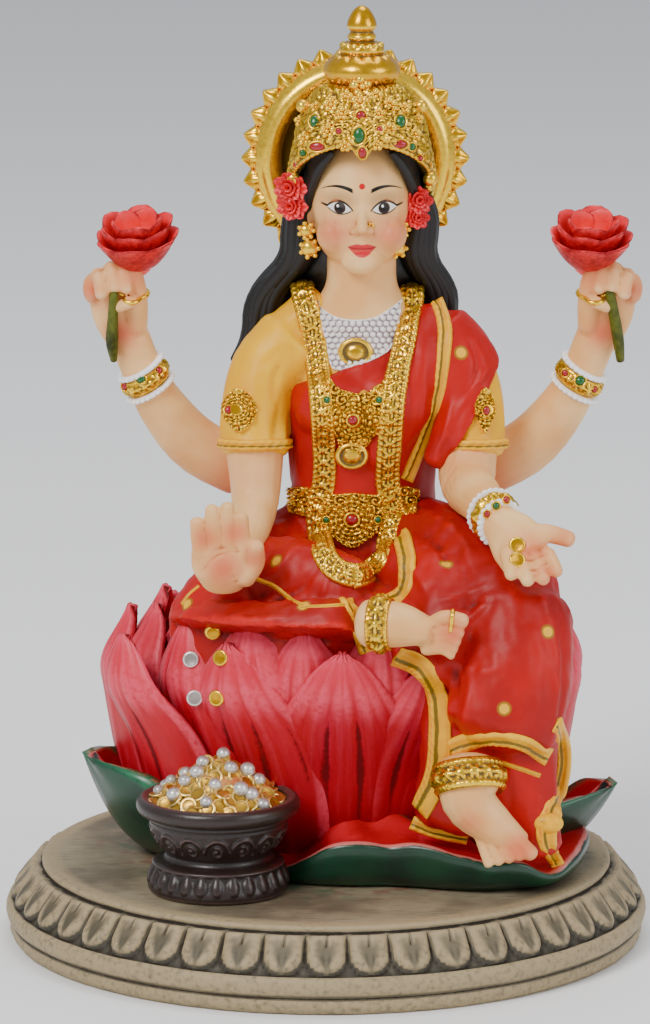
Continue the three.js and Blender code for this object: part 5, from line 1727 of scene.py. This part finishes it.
def pot_relief(angle, height):
    u = angle * ARCHES / (2 * math.pi)
    u = (u - np.rint(u)) * 2
    arch = 7.8 + 3.1 * np.sqrt(np.clip(1 - u**2, 0, 1))
    bowl = (height > 6.6) & (height < 11.9)
    ridge = dome(np.abs(height - arch), 0.36, 1.1) * bowl
    curl = scroll(u * 2.5, height - 8.6, 1.15, 1.2, 0.2, 0.4, 1) * bowl
    v = angle * OVALS / (2 * math.pi)
    v = (v - np.rint(v)) * 2 * math.pi * 11 / OVALS
    foot = (height > 1.2) & (height < 4.9)
    oval = 0.55 * np.sqrt(np.clip(1 - (v / 0.95) ** 2 - ((height - 3.0) / 1.5) ** 2, 0, 1)) * foot
    grooves = 0.35 * (np.exp(-(((height - 12.1) / 0.16) ** 2)) + np.exp(-(((height - 12.9) / 0.16) ** 2)))
    return np.maximum.reduce([ridge, curl, oval]) - grooves * (height < 13.3)


def make_pot():
    bm = fresh()
    f, r = POT_RADIUS - 1.9, POT_RADIUS
    outer = [(f - 0.6, 0.02), (f - 0.1, 0.5), (f, 1.2), (f - 0.5, 2.8), (f - 0.9, 4.5), (f - 0.7, 4.9),
             (f - 1.2, 5.3), (f - 2.8, 5.9), (f - 3, 6.4), (f - 2.4, 7.4), (f - 1.0, 9.6), (r - 1.9, 12.4),
             (r - 1.5, 13.2), (r - 0.4, 13.6), (r, 14.6), (r - 0.3, 15.7), (r - 1.2, 16.2)]
    rows = smooth_line([(radius, height, 0) for radius, height in outer], 70)[:, :2]
    inner = [(r - 2.2, 15.8), (r - 2.7, 14.6), (r - 3, 13), (0, 13)]
    verts = turned(bm, [(0, 0.02)] + [tuple(row) for row in rows] + inner, 260)
    place = positions(verts)
    radius = np.hypot(place[:, 0], place[:, 1])
    angle = np.arctan2(place[:, 0], -place[:, 1])
    rise = pot_relief(angle, place[:, 2]) * (radius > 6) * (place[:, 2] < 13.5)
    scale = 1 + rise / np.maximum(radius, 1)
    place[:, :2] = place[:, :2] * scale[:, None] + np.array([POT_X, POT_Y])
    move_to(verts, place)
    return bm


def coin(bm, place, way, radius, thick, steps=16):
    made = turned(bm, [(0, -thick), (radius, -thick), (radius + 0.08, 0), (radius - 0.15, 0.14),
                       (radius - 0.4, 0.05), (0, 0.12)], steps)
    out = Vector(way).normalized()
    aside = Vector((0.2, 0.1, 1)).cross(out).normalized()
    facing = Matrix((aside, out.cross(aside), out)).transposed()
    move_to(made, [facing @ vert.co + Vector(place) for vert in made])


COINS = 120
PEARLS = 24


def heap_height(share):
    return 15.2 + 7.4 * (1 - share) ** 0.9


def make_heap():
    bm = fresh()
    rng = random.Random(7)
    r = POT_RADIUS - 2.9
    turned(bm, [(0, 13.4), (r + 0.3, 13.4), (r, 14.4), (0.7 * r, 17.4), (0.4 * r, 20), (0, 21.6)], 32,
           (POT_X, POT_Y))
    for i in range(COINS):
        share = (i + 0.5) / COINS
        out = r * math.sqrt(share)
        turn = i * 2.39996
        place = (POT_X + out * math.cos(turn), POT_Y + out * math.sin(turn),
                 heap_height(math.sqrt(share)) + rng.uniform(-0.4, 0.5))
        way = Vector((math.cos(turn) * rng.uniform(0, 1.2), math.sin(turn) * rng.uniform(0, 1.2) - 0.35, 1))
        way += Vector((rng.uniform(-0.8, 0.8), rng.uniform(-0.8, 0.4), 0))
        coin(bm, place, way, 1.45, 0.4, 14)
    return bm


def make_pearls():
    bm = fresh()
    rng = random.Random(11)
    r = POT_RADIUS - 3.4
    for i in range(PEARLS):
        share = (i + 0.5) / PEARLS
        out = r * math.sqrt(share)
        turn = i * 2.39996 + rng.uniform(0.4, 1.6)
        size = rng.uniform(0.95, 1.3)
        place = (POT_X + out * math.cos(turn), POT_Y + out * math.sin(turn),
                 heap_height(math.sqrt(share)) + rng.uniform(0.5, 1.3))
        ball(bm, place, (size, size, size), 16, 12)
    return bm


pot_paint = painted("pot paint", tone("241612"), tone("080404"), tone("56403C"), wash_and_shade_depth=1.6,
                    edge_height=2.6, mottle=0.2, roughness=0.36, bump=0.2, gloss=0.1)
coin_paint = painted("coin gold", tone("CC9E34"), tone("3A2806"), tone("FFE48C"), wash_and_shade_depth=1.4,
                     edge_height=1.6, mottle=0.2, roughness=0.3, metallic=0.85)
silver_paint = painted("silver paint", tone("A09A94"), tone("4A4038"), tone("F4F2EE"), wash_and_shade_depth=2.2,
                       edge_height=3, mottle=0.25, roughness=0.3, metallic=0.5)
finished(make_pot(), "pot", pot_paint, node="coin_pot")
finished(make_heap(), "coin_heap", coin_paint, node="coin_pot", rounds=4)
finished(make_pearls(), "pearls", silver_paint, node="coin_pot")

# %% [markdown]
# ## Jewellery
# Everything here lies on a surface that is already there. Lines are drawn on the sheet and thrown onto breast
# and lap; bracelets are rings found by rays from inside the limb. Relief makes the goldsmith's work, and the
# wash in its hollows, which is painted shade as well, makes it readable.

# %% Lay the bib and the garlands
body_tree = surface_of(sari, blouse, drape, head)


def make_bib():
    bm = fresh("proud")
    top = [(-2.1, 99.2), (-0.7, 97.6), (1.6, 96.2), (4.9, 95.7), (8.2, 96.2), (10.5, 97.6), (12.4, 99.1)]
    bottom = [(-1.3, 98.9), (-0.0, 92.2), (1.6, 87.1), (4.3, 87.7), (7.9, 88.9), (10.9, 90.9), (11.9, 93.9)]
    patch(bm, body_tree, top, bottom, lambda x, z: 0.9 * bead_row(x + 0.55 * (np.rint(z / 0.95) % 2),
            z - np.rint(z / 0.95) * 0.95,
                                                     1.1, 0.46), lift=0.25, across=110, down=70, back=1.5)
    return bm


white_paint = painted("white paint", tone("E6E0DC"), tone("94808C"), tone("FFFFFF"), wash_and_shade_depth=0.8,
                      edge_height=1.2, mottle=0.06, roughness=0.4, bump=0.1)
bib = finished(make_bib(), "bead_bib", white_paint, rounds=5)

chest_tree = surface_of(sari, blouse, drape, head, bib)
GARLAND_WIDE = 2.1


def garland_relief(u, v, a):
    edges = bead_row(u, np.abs(v), 1.0, 0.5, GARLAND_WIDE - 0.55)
    middle = rosette_row(u, v, 2.1, 1.3, 6, 0.65)
    between_them = bead_row(u + 1.05, np.abs(v), 2.1, 0.4, 0.75)
    return np.maximum.reduce([edges, middle, between_them])


def make_garlands():
    bm = fresh("proud")
    left = [(-3.8, 100.4), (-2.8, 96.2), (-1.8, 91.4), (-1.2, 86.9), (-0.7, 82.2), (-0.3, 75.5),
            (-0.2, 68.7), (-1.2, 63.7), (-1.0, 58.6), (0.3, 54.9), (3.2, 52.7), (5.3, 52.5)]
    right = [(14.2, 100.1), (13.7, 95.6), (13.0, 91.4), (11.9, 86.9), (11.1, 82.2), (10.6, 75.5),
             (10.1, 68.7), (11.0, 63.7), (10.3, 58.6), (9.0, 54.9), (6.3, 52.7), (4.3, 52.3)]
    for points in (left, right):
        places, ways = laid(chest_tree, points, 60, lift=0.35, back=2.5)
        x, _, z = places[0]
        aside = 0.8 if x > HEAD_X else -0.8
        places = np.vstack([[(x + aside, 10, z - 3.4), (x + 0.6 * aside, 7.6, z - 0.8), (x, 4.6, z + 0.5)],
                            places[1:]])
        ways = np.vstack([[(0, 0.9, 0.5), (0, 0.4, 0.9), (0, -0.3, 0.9)], ways[1:]])
        band(bm, places, ways, GARLAND_WIDE, 0.9, garland_relief, pitch=0.26)
    return bm


garlands = finished(make_garlands(), "garlands", gold_paint, rounds=4)


# %% Lay the pectoral, the belt and the medallion
def plate_relief(centre, spacing, rings):
    """Tendrils all over, and round a centre as many rings of beads as asked, round a boss."""
    def height(x, z):
        out = np.hypot(x - centre[0], (z - centre[1]) * 1.05)
        field = filigree(x - centre[0], z - centre[1], spacing, 0.75)
        turn = np.arctan2(x - centre[0], z - centre[1])
        for radius, bead in rings:
            field = np.where(np.abs(out - radius) < bead, 0, field)
            field = np.maximum(field, bead_row(turn * radius, out, 2 * bead, bead * 0.95, radius, 1.1))
        return np.where(out < rings[0][0] - rings[0][1], 0.5, field) if rings else field
    return height


def make_plates():
    bm = fresh("proud")
    pectoral_top = [(-1.2, 86.2), (0.3, 85.9), (2.0, 84.2), (4.3, 83.5), (6.9, 83.5), (9.2, 84.9),
                    (11.2, 86.9)]
    pectoral_bottom = [(-0.7, 77.5), (1.0, 77.2), (2.6, 74.1), (4.5, 72.1), (6.6, 74.1), (8.6, 76.5),
                       (10.9, 77.5)]
    patch(bm, chest_tree, pectoral_top, pectoral_bottom,
          plate_relief((4.5, 78.8), 1.9, [(1.7, 0.45), (2.9, 0.5)]), lift=0.4, across=110, down=90,
          back=2.5)
    belt_top = [(-6.1, 67.4), (-3.7, 67.7), (-0.0, 66.4), (4.3, 66.7), (8.6, 66.4), (12.3, 67.7),
                (15.3, 67.4)]
    belt_bottom = [(-6.1, 63.0), (-3.7, 62.7), (-0.0, 60.0), (4.3, 57.2), (8.6, 60.0), (12.3, 62.7),
                   (15.3, 63.0)]
    patch(bm, chest_tree, belt_top, belt_bottom, plate_relief((4.3, 62.0), 1.9, [(1.9, 0.5), (3.3, 0.55)]),
          lift=0.5, across=150, down=80, back=2.5)
    for centre, size, petals in (((4.3, 73.0), 2.5, 8), ((4.9, 90.2), 2.6, 0)):
        place, way = thrown(chest_tree, *centre)
        verts = turned(bm, [(0, -0.8), (size, -0.8), (size + 0.15, 0.4), (size - 0.1, 0.75),
                            (size - 0.45, 0.8),
                            (size - 0.6, 0.55), (1.3, 0.6), (1.1, 0.8), (0.5, 0.85), (0, 0.88)], 40)
        out = Vector(way)
        aside = Vector((0, 0, 1)).cross(out).normalized()
        facing = Matrix((aside, out.cross(aside), out)).transposed()
        move_to(verts, [facing @ Vector((vert.co.x * 1.08, vert.co.y * 0.9,
                                         vert.co.z + 0.3 * (petals > 0))) + place
                        for vert in verts])
    return bm


plates = finished(make_plates(), "gold_plates", gold_paint, rounds=4)

# %% [markdown]
# ## Borders of the sari
# The sari has a yellow border with an olive line along its middle. It lies as a flat raised strip on the red
# cloth: it falls from the lap in front of the lotus, runs round the hem above the hanging foot, follows the
# folded leg down to the ankle and edges the cloth over the shoulder. The strips keep their place across as an
# attribute, and the paint turns that into stripes, so the line stays in the middle round every bend.

# %% Lay the borders
def border_body(tree):
    across = kept(tree, "across")
    place = object_place(tree)
    yellow = blend(tree, fade(tree, cloud(tree, place, 250, 3), 0.35, 0.65), tone("DC9400"), tone("EEAE00"))
    wobble = maths(tree, "MULTIPLY_ADD", maths(tree, "SUBTRACT", cloud(tree, place, 420), 0.5), 0.35,
                   across)
    olive = maths(tree, "MULTIPLY", fade(tree, wobble, 0.02, 0.12), fade(tree, wobble, 0.34, 0.44, 1, 0))
    body = blend(tree, maths(tree, "MULTIPLY", olive, 0.9), yellow, tone("5C5004"))
    return blend(tree, fade(tree, wobble, 0.55, 0.68, 0, 0.75), body, tone("E87A08"))


def stitches(u, v, a):
    """Two soft strips with a valley between them, and slanting stitches along the outer one."""
    strips = 0.3 * np.exp(-(((a - 0.55) / 0.3) ** 2))
    slant = u + 1.2 * v
    dash = 0.22 * np.clip(np.cos(2 * math.pi * slant / 1.5), 0, 1) * (v > 0.35 * np.abs(v).max())
    return strips + dash


def hem_relief(u, v, a):
    return 0.25 * np.exp(-(((a - 0.6) / 0.3) ** 2)) + 0.18 * np.clip(np.cos(2 * math.pi * (u + v) / 1.6), 0,
            1)


# Each border: points on the sheet, half width, and the depth beyond which nothing is laid.
BORDERS = [
    ([(11.7, 38.9), (15.7, 37.2), (18.4, 33.0), (19.1, 25.3), (18.4, 17.9), (15.8, 12.1)], 2.0, -24),
    ([(14.4, 10.3), (18.0, 8.8), (21.2, 8.1), (23.8, 7.6)], 1.2, -24),
    ([(20.6, 22.8), (24.1, 24.3), (28.4, 24.8), (32.8, 24.1), (37.3, 21.5)], 1.6, -22),
    ([(38.5, 27.2), (39.7, 22.8), (39.2, 16.6), (37.9, 12.1), (36.9, 8.6), (37.5, 5.8), (39.0, 2.7)],
     lambda t: 1.5 + 0.7 * np.exp(-(((t - 0.68) / 0.12) ** 2)) - 0.3 * t, -21),
    ([(12.6, 59.3), (13.5, 54.9), (12.5, 49.1), (10.3, 47.9)], 1.6, -4),
    ([(3.0, 48.4), (5.0, 45.3), (7.0, 39.5)], 1.5, -20),
    ([(18.1, 98.9), (19.5, 95.2), (19.2, 88.6), (18.0, 80.9), (15.7, 74.8), (13.3, 68.7)], 1.25, 3),
]
PIPING = [
    [(-12.3, 52.2), (-8.7, 50.8), (-5.2, 48.1), (-2.7, 47.2)],
    [(-21.1, 50.8), (-23.0, 49.1), (-24.0, 47.6)],
    [(-4.3, 47.2), (0.7, 47.4), (4.3, 47.7)],
]
SHADED_PIPING = [(25.5, 21.5), (30.2, 20.3), (35.9, 18.3)]


KNOT_SHARE = 0.68


def make_borders():
    bm = fresh("proud", "across")
    tree = surface_of(sari, drape, blouse, lotus, leaves)
    for points, half, back in BORDERS:
        places, ways = laid(tree, points, 30, lift=0.25, back=back)
        band(bm, places, ways, half, 0.9, stitches, pitch=0.3)
        if callable(half):
            ball(bm, places[round(KNOT_SHARE * (len(places) - 1))], (2.5, 1.4, 1.8), 20, 14)
    for points in [*PIPING, SHADED_PIPING]:
        places, ways = laid(tree, points, 24, lift=0.0)
        band(bm, places, ways, 0.42, 0.5, None, pitch=0.3, crown=0.3)
    sleeves = surface_of(blouse)
    for centre in ((-12.1, -1.4, 71.6), (2 * BODY_X + 12.1, -1.4, 71.6)):
        wreath(bm, sleeves, centre, (0, 0.12, 1), 0.95, hem_relief, lift=0.1, crown=0.35)
    return bm


border_paint = painted("border paint", border_body, tone("844404"), tone("FFC020"), wash_and_shade_depth=2.6,
                       edge_height=3, mottle=0.1, roughness=0.4, bump=0.12)
finished(make_borders(), "borders", border_paint, rounds=6)

# %% [markdown]
# ## Rings of gold
# Bracelets, armlets and anklets are found by rays: from a point inside the limb, rays go out all round, and
# the band lies where they leave the skin. The raised wrists wear a gold band between two rows of white beads.

# %% Put on bracelets, armlets and anklets
RAISED_WRIST = (-30.9, 5.4, 81.6)
WRIST_WAY = (-0.5, -0.22, 0.84)
FRONT_WRIST = (28.2, -21.4, 62.8)


def bangle_relief(u, v, a):
    return np.maximum(rosette_row(u, v, 2.4, 1.15, 6, 0.6), bead_row(u + 1.2, v, 2.4, 0.45))


def pearl_rows(u, v, a):
    return bead_row(u, v, 0.95, 0.5)


def flowered(u, v, a):
    return np.maximum(rosette_row(u, v, 2.2, 1.3, 6, 0.7), bead_row(u, np.abs(v), 0.9, 0.45, 1.9))


def along_from(place, way, distance):
    return tuple(np.array(place) + np.array(way) / np.linalg.norm(way) * distance)


def make_bangles():
    gold, white = fresh("proud"), fresh("proud")
    raised, front, foot = surface_of(raised_arms), surface_of(front_arms), surface_of(feet)
    for sign in (1, -1):
        place = RAISED_WRIST if sign > 0 else (2 * BODY_X - RAISED_WRIST[0], *RAISED_WRIST[1:])
        way = (sign * WRIST_WAY[0], *WRIST_WAY[1:])
        wreath(gold, raised, place, way, 1.5, bangle_relief, lift=0.25)
        for away in (-2.1, 2.1):
            wreath(white, raised, along_from(place, way, away), way, 0.55, pearl_rows, lift=0.3, pitch=0.24)
    way = (0.36, -0.9, -0.2)
    wreath(gold, front, FRONT_WRIST, way, 1.2, bangle_relief, lift=0.3)
    for away in (-1.8, 1.8):
        wreath(white, front, along_from(FRONT_WRIST, way, away), way, 0.5, pearl_rows, lift=0.35,
               pitch=0.24)
    wreath(gold, foot, (9.0, -31.8, 46.8), (1, -0.25, 0), 1.9, flowered, lift=0.2)
    wreath(gold, foot, (23.7, -31.4, 20.6), (0.1, -0.5, -1), 2.6, flowered, lift=0.2)
    wreath(gold, foot, (20.6, -34.7, 48.1), (1, -0.05, -0.1), 0.4, None, lift=0.1, thick=0.4, crown=0.3)
    arms = surface_of(blouse, drape)
    patch(gold, arms, [(-17.0, 81.2), (-15.9, 83.2), (-14.4, 84.2), (-12.6, 83.2), (-11.4, 81.2)],
          [(-17.0, 80.2), (-15.9, 77.8), (-14.2, 76.7), (-12.6, 77.8), (-11.4, 80.2)],
          plate_relief((-14.6, 80.5), 1.9, [(1.4, 0.4), (2.4, 0.45)]), lift=0.35, across=56, down=56,
          back=8)
    patch(gold, arms, [(24.5, 81.2), (25.3, 83.2), (26.1, 84.4), (27.1, 83.2), (27.9, 81.2)],
          [(24.5, 80.2), (25.3, 78.2), (26.3, 76.5), (27.1, 78.2), (28.0, 80.2)],
          plate_relief((26.5, 80.5), 1.9, [(1.4, 0.4), (2.4, 0.45)]), lift=0.35, across=40, down=60, back=8)
    for x in (-32.0, 2 * BODY_X + 32.0):
        wreath(gold, raised, (x, -0.3, 96.8), (0, -0.35, 1), 0.5, None, lift=0.15, thick=0.5, crown=0.4)
    return gold, white


bangles, bangle_beads = make_bangles()
gold_bangles = finished(bangles, "gold_bangles", gold_paint, rounds=4)
white_beads = finished(bangle_beads, "white_beads", white_paint, rounds=4)


# %% [markdown]
# Stones are domes in raised collars: red and green enamel in turn round the crown, a ruby on each clasp.
# The earrings hang from the ears as a stud and a drop, and a small gold flower sits on the nose.

# %% Set the stones
RED, GREEN = 0.0, 1.0
CROWN_STONES = [
    ((5.7, 129.4), 0.85, 0.85, RED), ((5.4, 126.1), 0.95, 1.35, GREEN), ((6.0, 123.3), 0.7, 0.95, RED),
    ((-1.8, 128.4), 0.9, 1.1, GREEN), ((12.2, 128.4), 0.9, 1.1, GREEN), ((-1.4, 124.3), 1.3, 0.75, RED),
    ((12.0, 124.7), 1.3, 0.75, RED), ((-3.8, 123.3), 0.6, 0.6, GREEN), ((14.1, 124.3), 0.6, 0.6, GREEN),
    ((-4.9, 121.3), 0.5, 0.5, RED), ((15.4, 122.4), 0.5, 0.5, RED), ((2.1, 126.9), 0.55, 0.55, RED),
    ((8.8, 127.1), 0.55, 0.55, RED),
]
BODY_STONES = [
    ((4.4, 78.8), 0.85, 0.85, RED), ((4.3, 62.0), 1.05, 1.0, RED), ((8.8, 82.2), 0.6, 0.6, GREEN),
    ((0.2, 82.2), 0.6, 0.6, GREEN), ((-0.0, 62.0), 0.55, 0.55, GREEN), ((8.6, 62.0), 0.55, 0.55, GREEN),
    ((-16.1, 80.5), 0.7, 0.7, RED), ((26.5, 80.4), 0.6, 0.8, RED),
]
BRACELET_STONES = [
    ((-33.2, 84.5), 0.6, 0.7, RED), ((-30.6, 85.7), 0.8, 0.7, GREEN), ((-27.6, 87.1), 0.6, 0.7, RED),
    ((39.5, 86.7), 0.55, 0.6, RED), ((42.0, 85.4), 0.85, 0.8, GREEN), ((44.3, 84.0), 0.6, 0.6, RED),
    ((26.7, 63.0), 0.55, 0.6, RED), ((28.2, 64.4), 0.6, 0.6, GREEN), ((29.9, 65.4), 0.55, 0.6, RED),
]


CROWN_FLORETS = [
    ((5.7, 134.1), 1.9), ((3.3, 132.5), 1.2), ((8.2, 132.6), 1.2), ((5.5, 131.7), 1.5), ((0.8, 131.2), 1.3),
    ((10.6, 131.3), 1.3), ((-1.6, 130.8), 1.0), ((12.9, 130.7), 1.0), ((2.6, 129.7), 1.1),
                 ((8.7, 129.7), 1.1),
    ((0.3, 126.9), 1.3), ((10.3, 127.2), 1.3), ((3.1, 124.4), 1.0), ((8.4, 124.6), 1.0),
                 ((-3.6, 125.6), 1.2),
    ((14.6, 126.4), 1.1), ((-4.3, 128.5), 1.0), ((15.1, 128.9), 0.9),
]
NOSE_SPOT = (7.4, 111.2)
EAR_DROPS = [((-3.3, 107.9), 1.25), ((-2.8, 104.9), 1.5), ((12.7, 108.1), 1.2), ((12.0, 104.9), 1.45)]


def floret(bm, place, way, size):
    """Five round petals about a bead, half sunk in the surface."""
    out = (Vector((0, -1, 0.1)) + way).normalized()
    aside = Vector((0, 0, 1)).cross(out).normalized()
    upward = out.cross(aside)
    petal_size = 0.46 * size
    for i in range(5):
        turn = 2 * math.pi * i / 5 + math.pi / 2
        spot = place + (aside * math.cos(turn) + upward * math.sin(turn)) * 0.66 * size
        ball(bm, spot, (petal_size, petal_size, petal_size), 12, 8)
    ball(bm, place + out * 0.3 * size, (0.3 * size, 0.3 * size, 0.3 * size), 10, 8)


def make_stones():
    mounts, stones = fresh("shade"), fresh("shade")
    for tree, rows in ((surface_of(crown), CROWN_STONES), (surface_of(plates, garlands, gold_bangles),
                                                           BODY_STONES),
                       (surface_of(gold_bangles, white_beads), BRACELET_STONES)):
        for where, half_wide, half_tall, colour in rows:
            place, way = thrown(tree, *where, back=20)
            facing = (Vector((0, -1, 0.1)) + way * 0.5).normalized()
            set_stone(mounts, stones, place, facing, half_wide, half_tall, colour=colour)
    crown_tree = surface_of(crown)
    for spot, size in CROWN_FLORETS:
        floret(mounts, *thrown(crown_tree, *spot, back=20), size)
    for (x, z), size in EAR_DROPS:
        ball(mounts, (x, -1.4, z), (size, size * 0.9, size), 20, 14)
        for turn in range(7):
            angle = 2 * math.pi * turn / 7
            ball(mounts, (x + size * math.cos(angle), -2.0, z + size * math.sin(angle)), (0.42, 0.42, 0.42),
                 10, 8)
    place, way = thrown(surface_of(head), *NOSE_SPOT)
    for turn in range(6):
        angle = 2 * math.pi * turn / 6
        ball(mounts, (place.x + 0.42 * math.cos(angle), place.y - 0.1, place.z + 0.42 * math.sin(angle)),
             (0.26, 0.26, 0.26), 8, 6)
    return mounts, stones


def gem_body(tree):
    colour = kept(tree, "shade")
    return blend(tree, fade(tree, colour, 0.4, 0.6), tone("9C0010"), tone("065A24"))


gem_paint = painted("gem paint", gem_body, tone("300008"), tone("E8302C"), wash_and_shade_depth=6, edge_height=16,
                    mottle=0.05, roughness=0.2, bump=0.0, gloss=0.4)
mount_bm, stone_bm = make_stones()
finished(mount_bm, "collars_and_earrings", gold_paint, rounds=4)
finished(stone_bm, "gems", gem_paint, rounds=2)

# %% [markdown]
# ## Flowers
# The raised hands hold an open lotus flower each, and a ruffled red flower sits behind each ear. A flower is
# rings of cupped petals: the inner ones stand up, the outer ones lie out. The stems run down over the fists.

# %% Grow the flowers
FLOWER_AXIS = (-31.6, 0.0)


def open_flower(bm, x, lean):
    axis = Vector((lean, -0.32, 1))
    base = (x, 0.6, 101.4)
    for count, phase, foot, reach, rise, half, cup, lay in (
        (7, 0.25, 1.6, 7.4, 6.2, 4.0, 1.6, 0.6), (6, 0.55, 1.4, 6.2, 8.2, 3.8, 1.8, 0.55),
        (5, 0.1, 1.2, 4.4, 9.2, 3.2, 1.7, 0.6)):
        for i in range(count):
            turn = 2 * math.pi * (i + phase) / count
            wobble = 0.5 * math.sin(5.1 * i + 3 * phase)
            flower_petal(bm, base, axis, turn, foot, reach + wobble, rise + 0.6 * wobble, half, cup, 0.08,
                         lay, 0.9)
    ball(bm, (x, 0.4, 104), (3.0, 3.0, 4.2), 20, 14)


def ear_flower(bm, x, y, z, size):
    axis = Vector((-0.35 if x < HEAD_X else 0.35, -1, 0.1))
    for count, foot, reach, rise, half in ((9, 0.4, 1.05, 0.2, 0.42), (8, 0.3, 0.85, 0.5, 0.38),
                                           (6, 0.2, 0.55, 0.75, 0.32), (4, 0.05, 0.3, 0.9, 0.25)):
        for i in range(count):
            turn = 2 * math.pi * (i + 0.37 * count) / count
            grow = size * (1 + 0.16 * math.sin(7.7 * i + 3 * count))
            flower_petal(bm, (x, y, z), axis, turn, foot * size, reach * grow, rise * grow, half * size,
                         0.08 * size, 0.09 * size, 1.2, 0.22 * size)


EAR_FLOWERS = [((-5.8, 115.0), 2.7), ((-5.6, 111.9), 2.5), ((15.1, 112.9), 2.5), ((15.0, 110.0), 2.1)]


def make_flowers():
    bm = fresh("shade")
    open_flower(bm, FLOWER_AXIS[0], -0.06)
    open_flower(bm, 2 * BODY_X - FLOWER_AXIS[0], 0.06)
    for (x, z), size in EAR_FLOWERS:
        ear_flower(bm, x, -0.8, z, size)
    return bm


def flower_body(tree):
    place = object_place(tree)
    v = kept(tree, "shade")
    red = blend(tree, fade(tree, cloud(tree, place, 400, 3), 0.35, 0.65), tone("E00C18"), tone("F41C24"))
    return blend(tree, fade(tree, v, 0.55, 1.0, 0, 0.35), red, tone("F44C56"))


flower_paint = painted("flower paint", flower_body, tone("90000C"), tone("FF6468"), wash_and_shade_depth=4,
                       edge_height=3, mottle=0.08, roughness=0.42, bump=0.1)
finished(make_flowers(), "red_flowers", flower_paint, rounds=5)


def make_stems():
    bm = fresh()
    limb(bm, [(-35.6, -2.6, 98, 0.7), (-35.9, -1.4, 93, 0.9), (-36.1, 0.0, 88.4, 1.05),
              (-35.9, 1.4, 85.4, 0.6)])
    limb(bm, [(47.6, -2.6, 98, 0.8), (48.6, -1.2, 93, 0.95), (49.4, 0.2, 88.6, 0.95),
              (49.8, 1.4, 85.4, 0.7)])
    return bm


stem_paint = painted("stem paint", tone("5E6414"), tone("2A3006"), tone("8E942C"), wash_and_shade_depth=3,
                     edge_height=4, mottle=0.12, roughness=0.42)
finished(make_stems(), "stems", stem_paint)

# %% [markdown]
# Two gold coins lie in the goddess's open palm. Three more and two of silver have fallen from her other hand
# and lie on the petals. Each is a low disc with a raised rim.

# %% Scatter the fallen coins
def make_fallen(rows):
    bm = fresh()
    tree = surface_of(sari, lotus, front_arms)
    for where in rows:
        place, way = thrown(tree, *where)
        coin(bm, place + way * 0.55, way * 0.6 + Vector((0, -0.8, 0.15)), 1.3, 1.1)
    return bm


FALLEN_GOLD = [(-18.8, 43.3), (-17.2, 38.5), (-17.9, 31.7), (31.9, 57.6), (31.6, 54.9)]
FALLEN_SILVER = [(-22.4, 38.2), (-21.9, 31.8)]
finished(make_fallen(FALLEN_GOLD), "fallen_gold_coins", gold_paint)
finished(make_fallen(FALLEN_SILVER), "fallen_silver_coins", silver_paint)

# %% [markdown]
# ## Floor, light and camera
# A seller's table: a wide pale sheet, one large soft light from the upper left, a weaker one from the right
# and a pale room, so gold has something bright to mirror. The sheet is flat, so nothing stands in the way of
# a view from behind. The camera stands about 90 cm off with a long lens and looks slightly down, as in the
# photo.

# %% Set the floor and the lights
def make_floor():
    bm = bmesh.new()
    bmesh.ops.create_grid(bm, x_segments=1, y_segments=1, size=4)
    mesh = mesh_from(bm, "floor")
    paper = bpy.data.materials.new("paper")
    paper.use_nodes = True
    paper.node_tree.nodes["Principled BSDF"].inputs["Base Color"].default_value = (0.95, 0.95, 0.95, 1)
    paper.node_tree.nodes["Principled BSDF"].inputs["Roughness"].default_value = 0.8
    mesh.materials.append(paper)
    floor = bpy.data.objects.new("floor", mesh)
    bpy.context.scene.collection.objects.link(floor)


def soft_light(name, place, target, size, watts, colour=(1, 1, 1)):
    lamp = bpy.data.lights.new(name, "AREA")
    lamp.shape = "DISK"
    lamp.size = size
    lamp.energy = watts
    lamp.color = colour
    holder = bpy.data.objects.new(name, lamp)
    holder.location = place
    holder.rotation_euler = (Vector(target) - Vector(place)).to_track_quat("-Z", "Y").to_euler()
    bpy.context.scene.collection.objects.link(holder)


make_floor()
soft_light("window", (-0.55, -0.75, 0.85), (0, 0, 0.08), 0.5, 10.8, (1.0, 0.98, 0.95))
soft_light("reflector", (0.75, -0.5, 0.45), (0, 0, 0.08), 0.6, 3.3)
soft_light("ceiling", (0.1, 0.25, 1.1), (0, 0, 0.05), 0.7, 4.3)

world = bpy.data.worlds.new("room")
world.use_nodes = True
world.node_tree.nodes["Background"].inputs["Color"].default_value = (0.9, 0.93, 1.0, 1)
world.node_tree.nodes["Background"].inputs["Strength"].default_value = 0.56
bpy.context.scene.world = world

# %% Aim the camera
lens = bpy.data.cameras.new("camera")
lens.lens = 189.77
lens.sensor_width = 36
lens.clip_end = 10
camera = bpy.data.objects.new("camera", lens)
camera.location = (-0.00017, -0.9, 0.2465)
camera.rotation_euler = (math.radians(79.093), 0, 0)
bpy.context.scene.collection.objects.link(camera)
bpy.context.scene.camera = camera
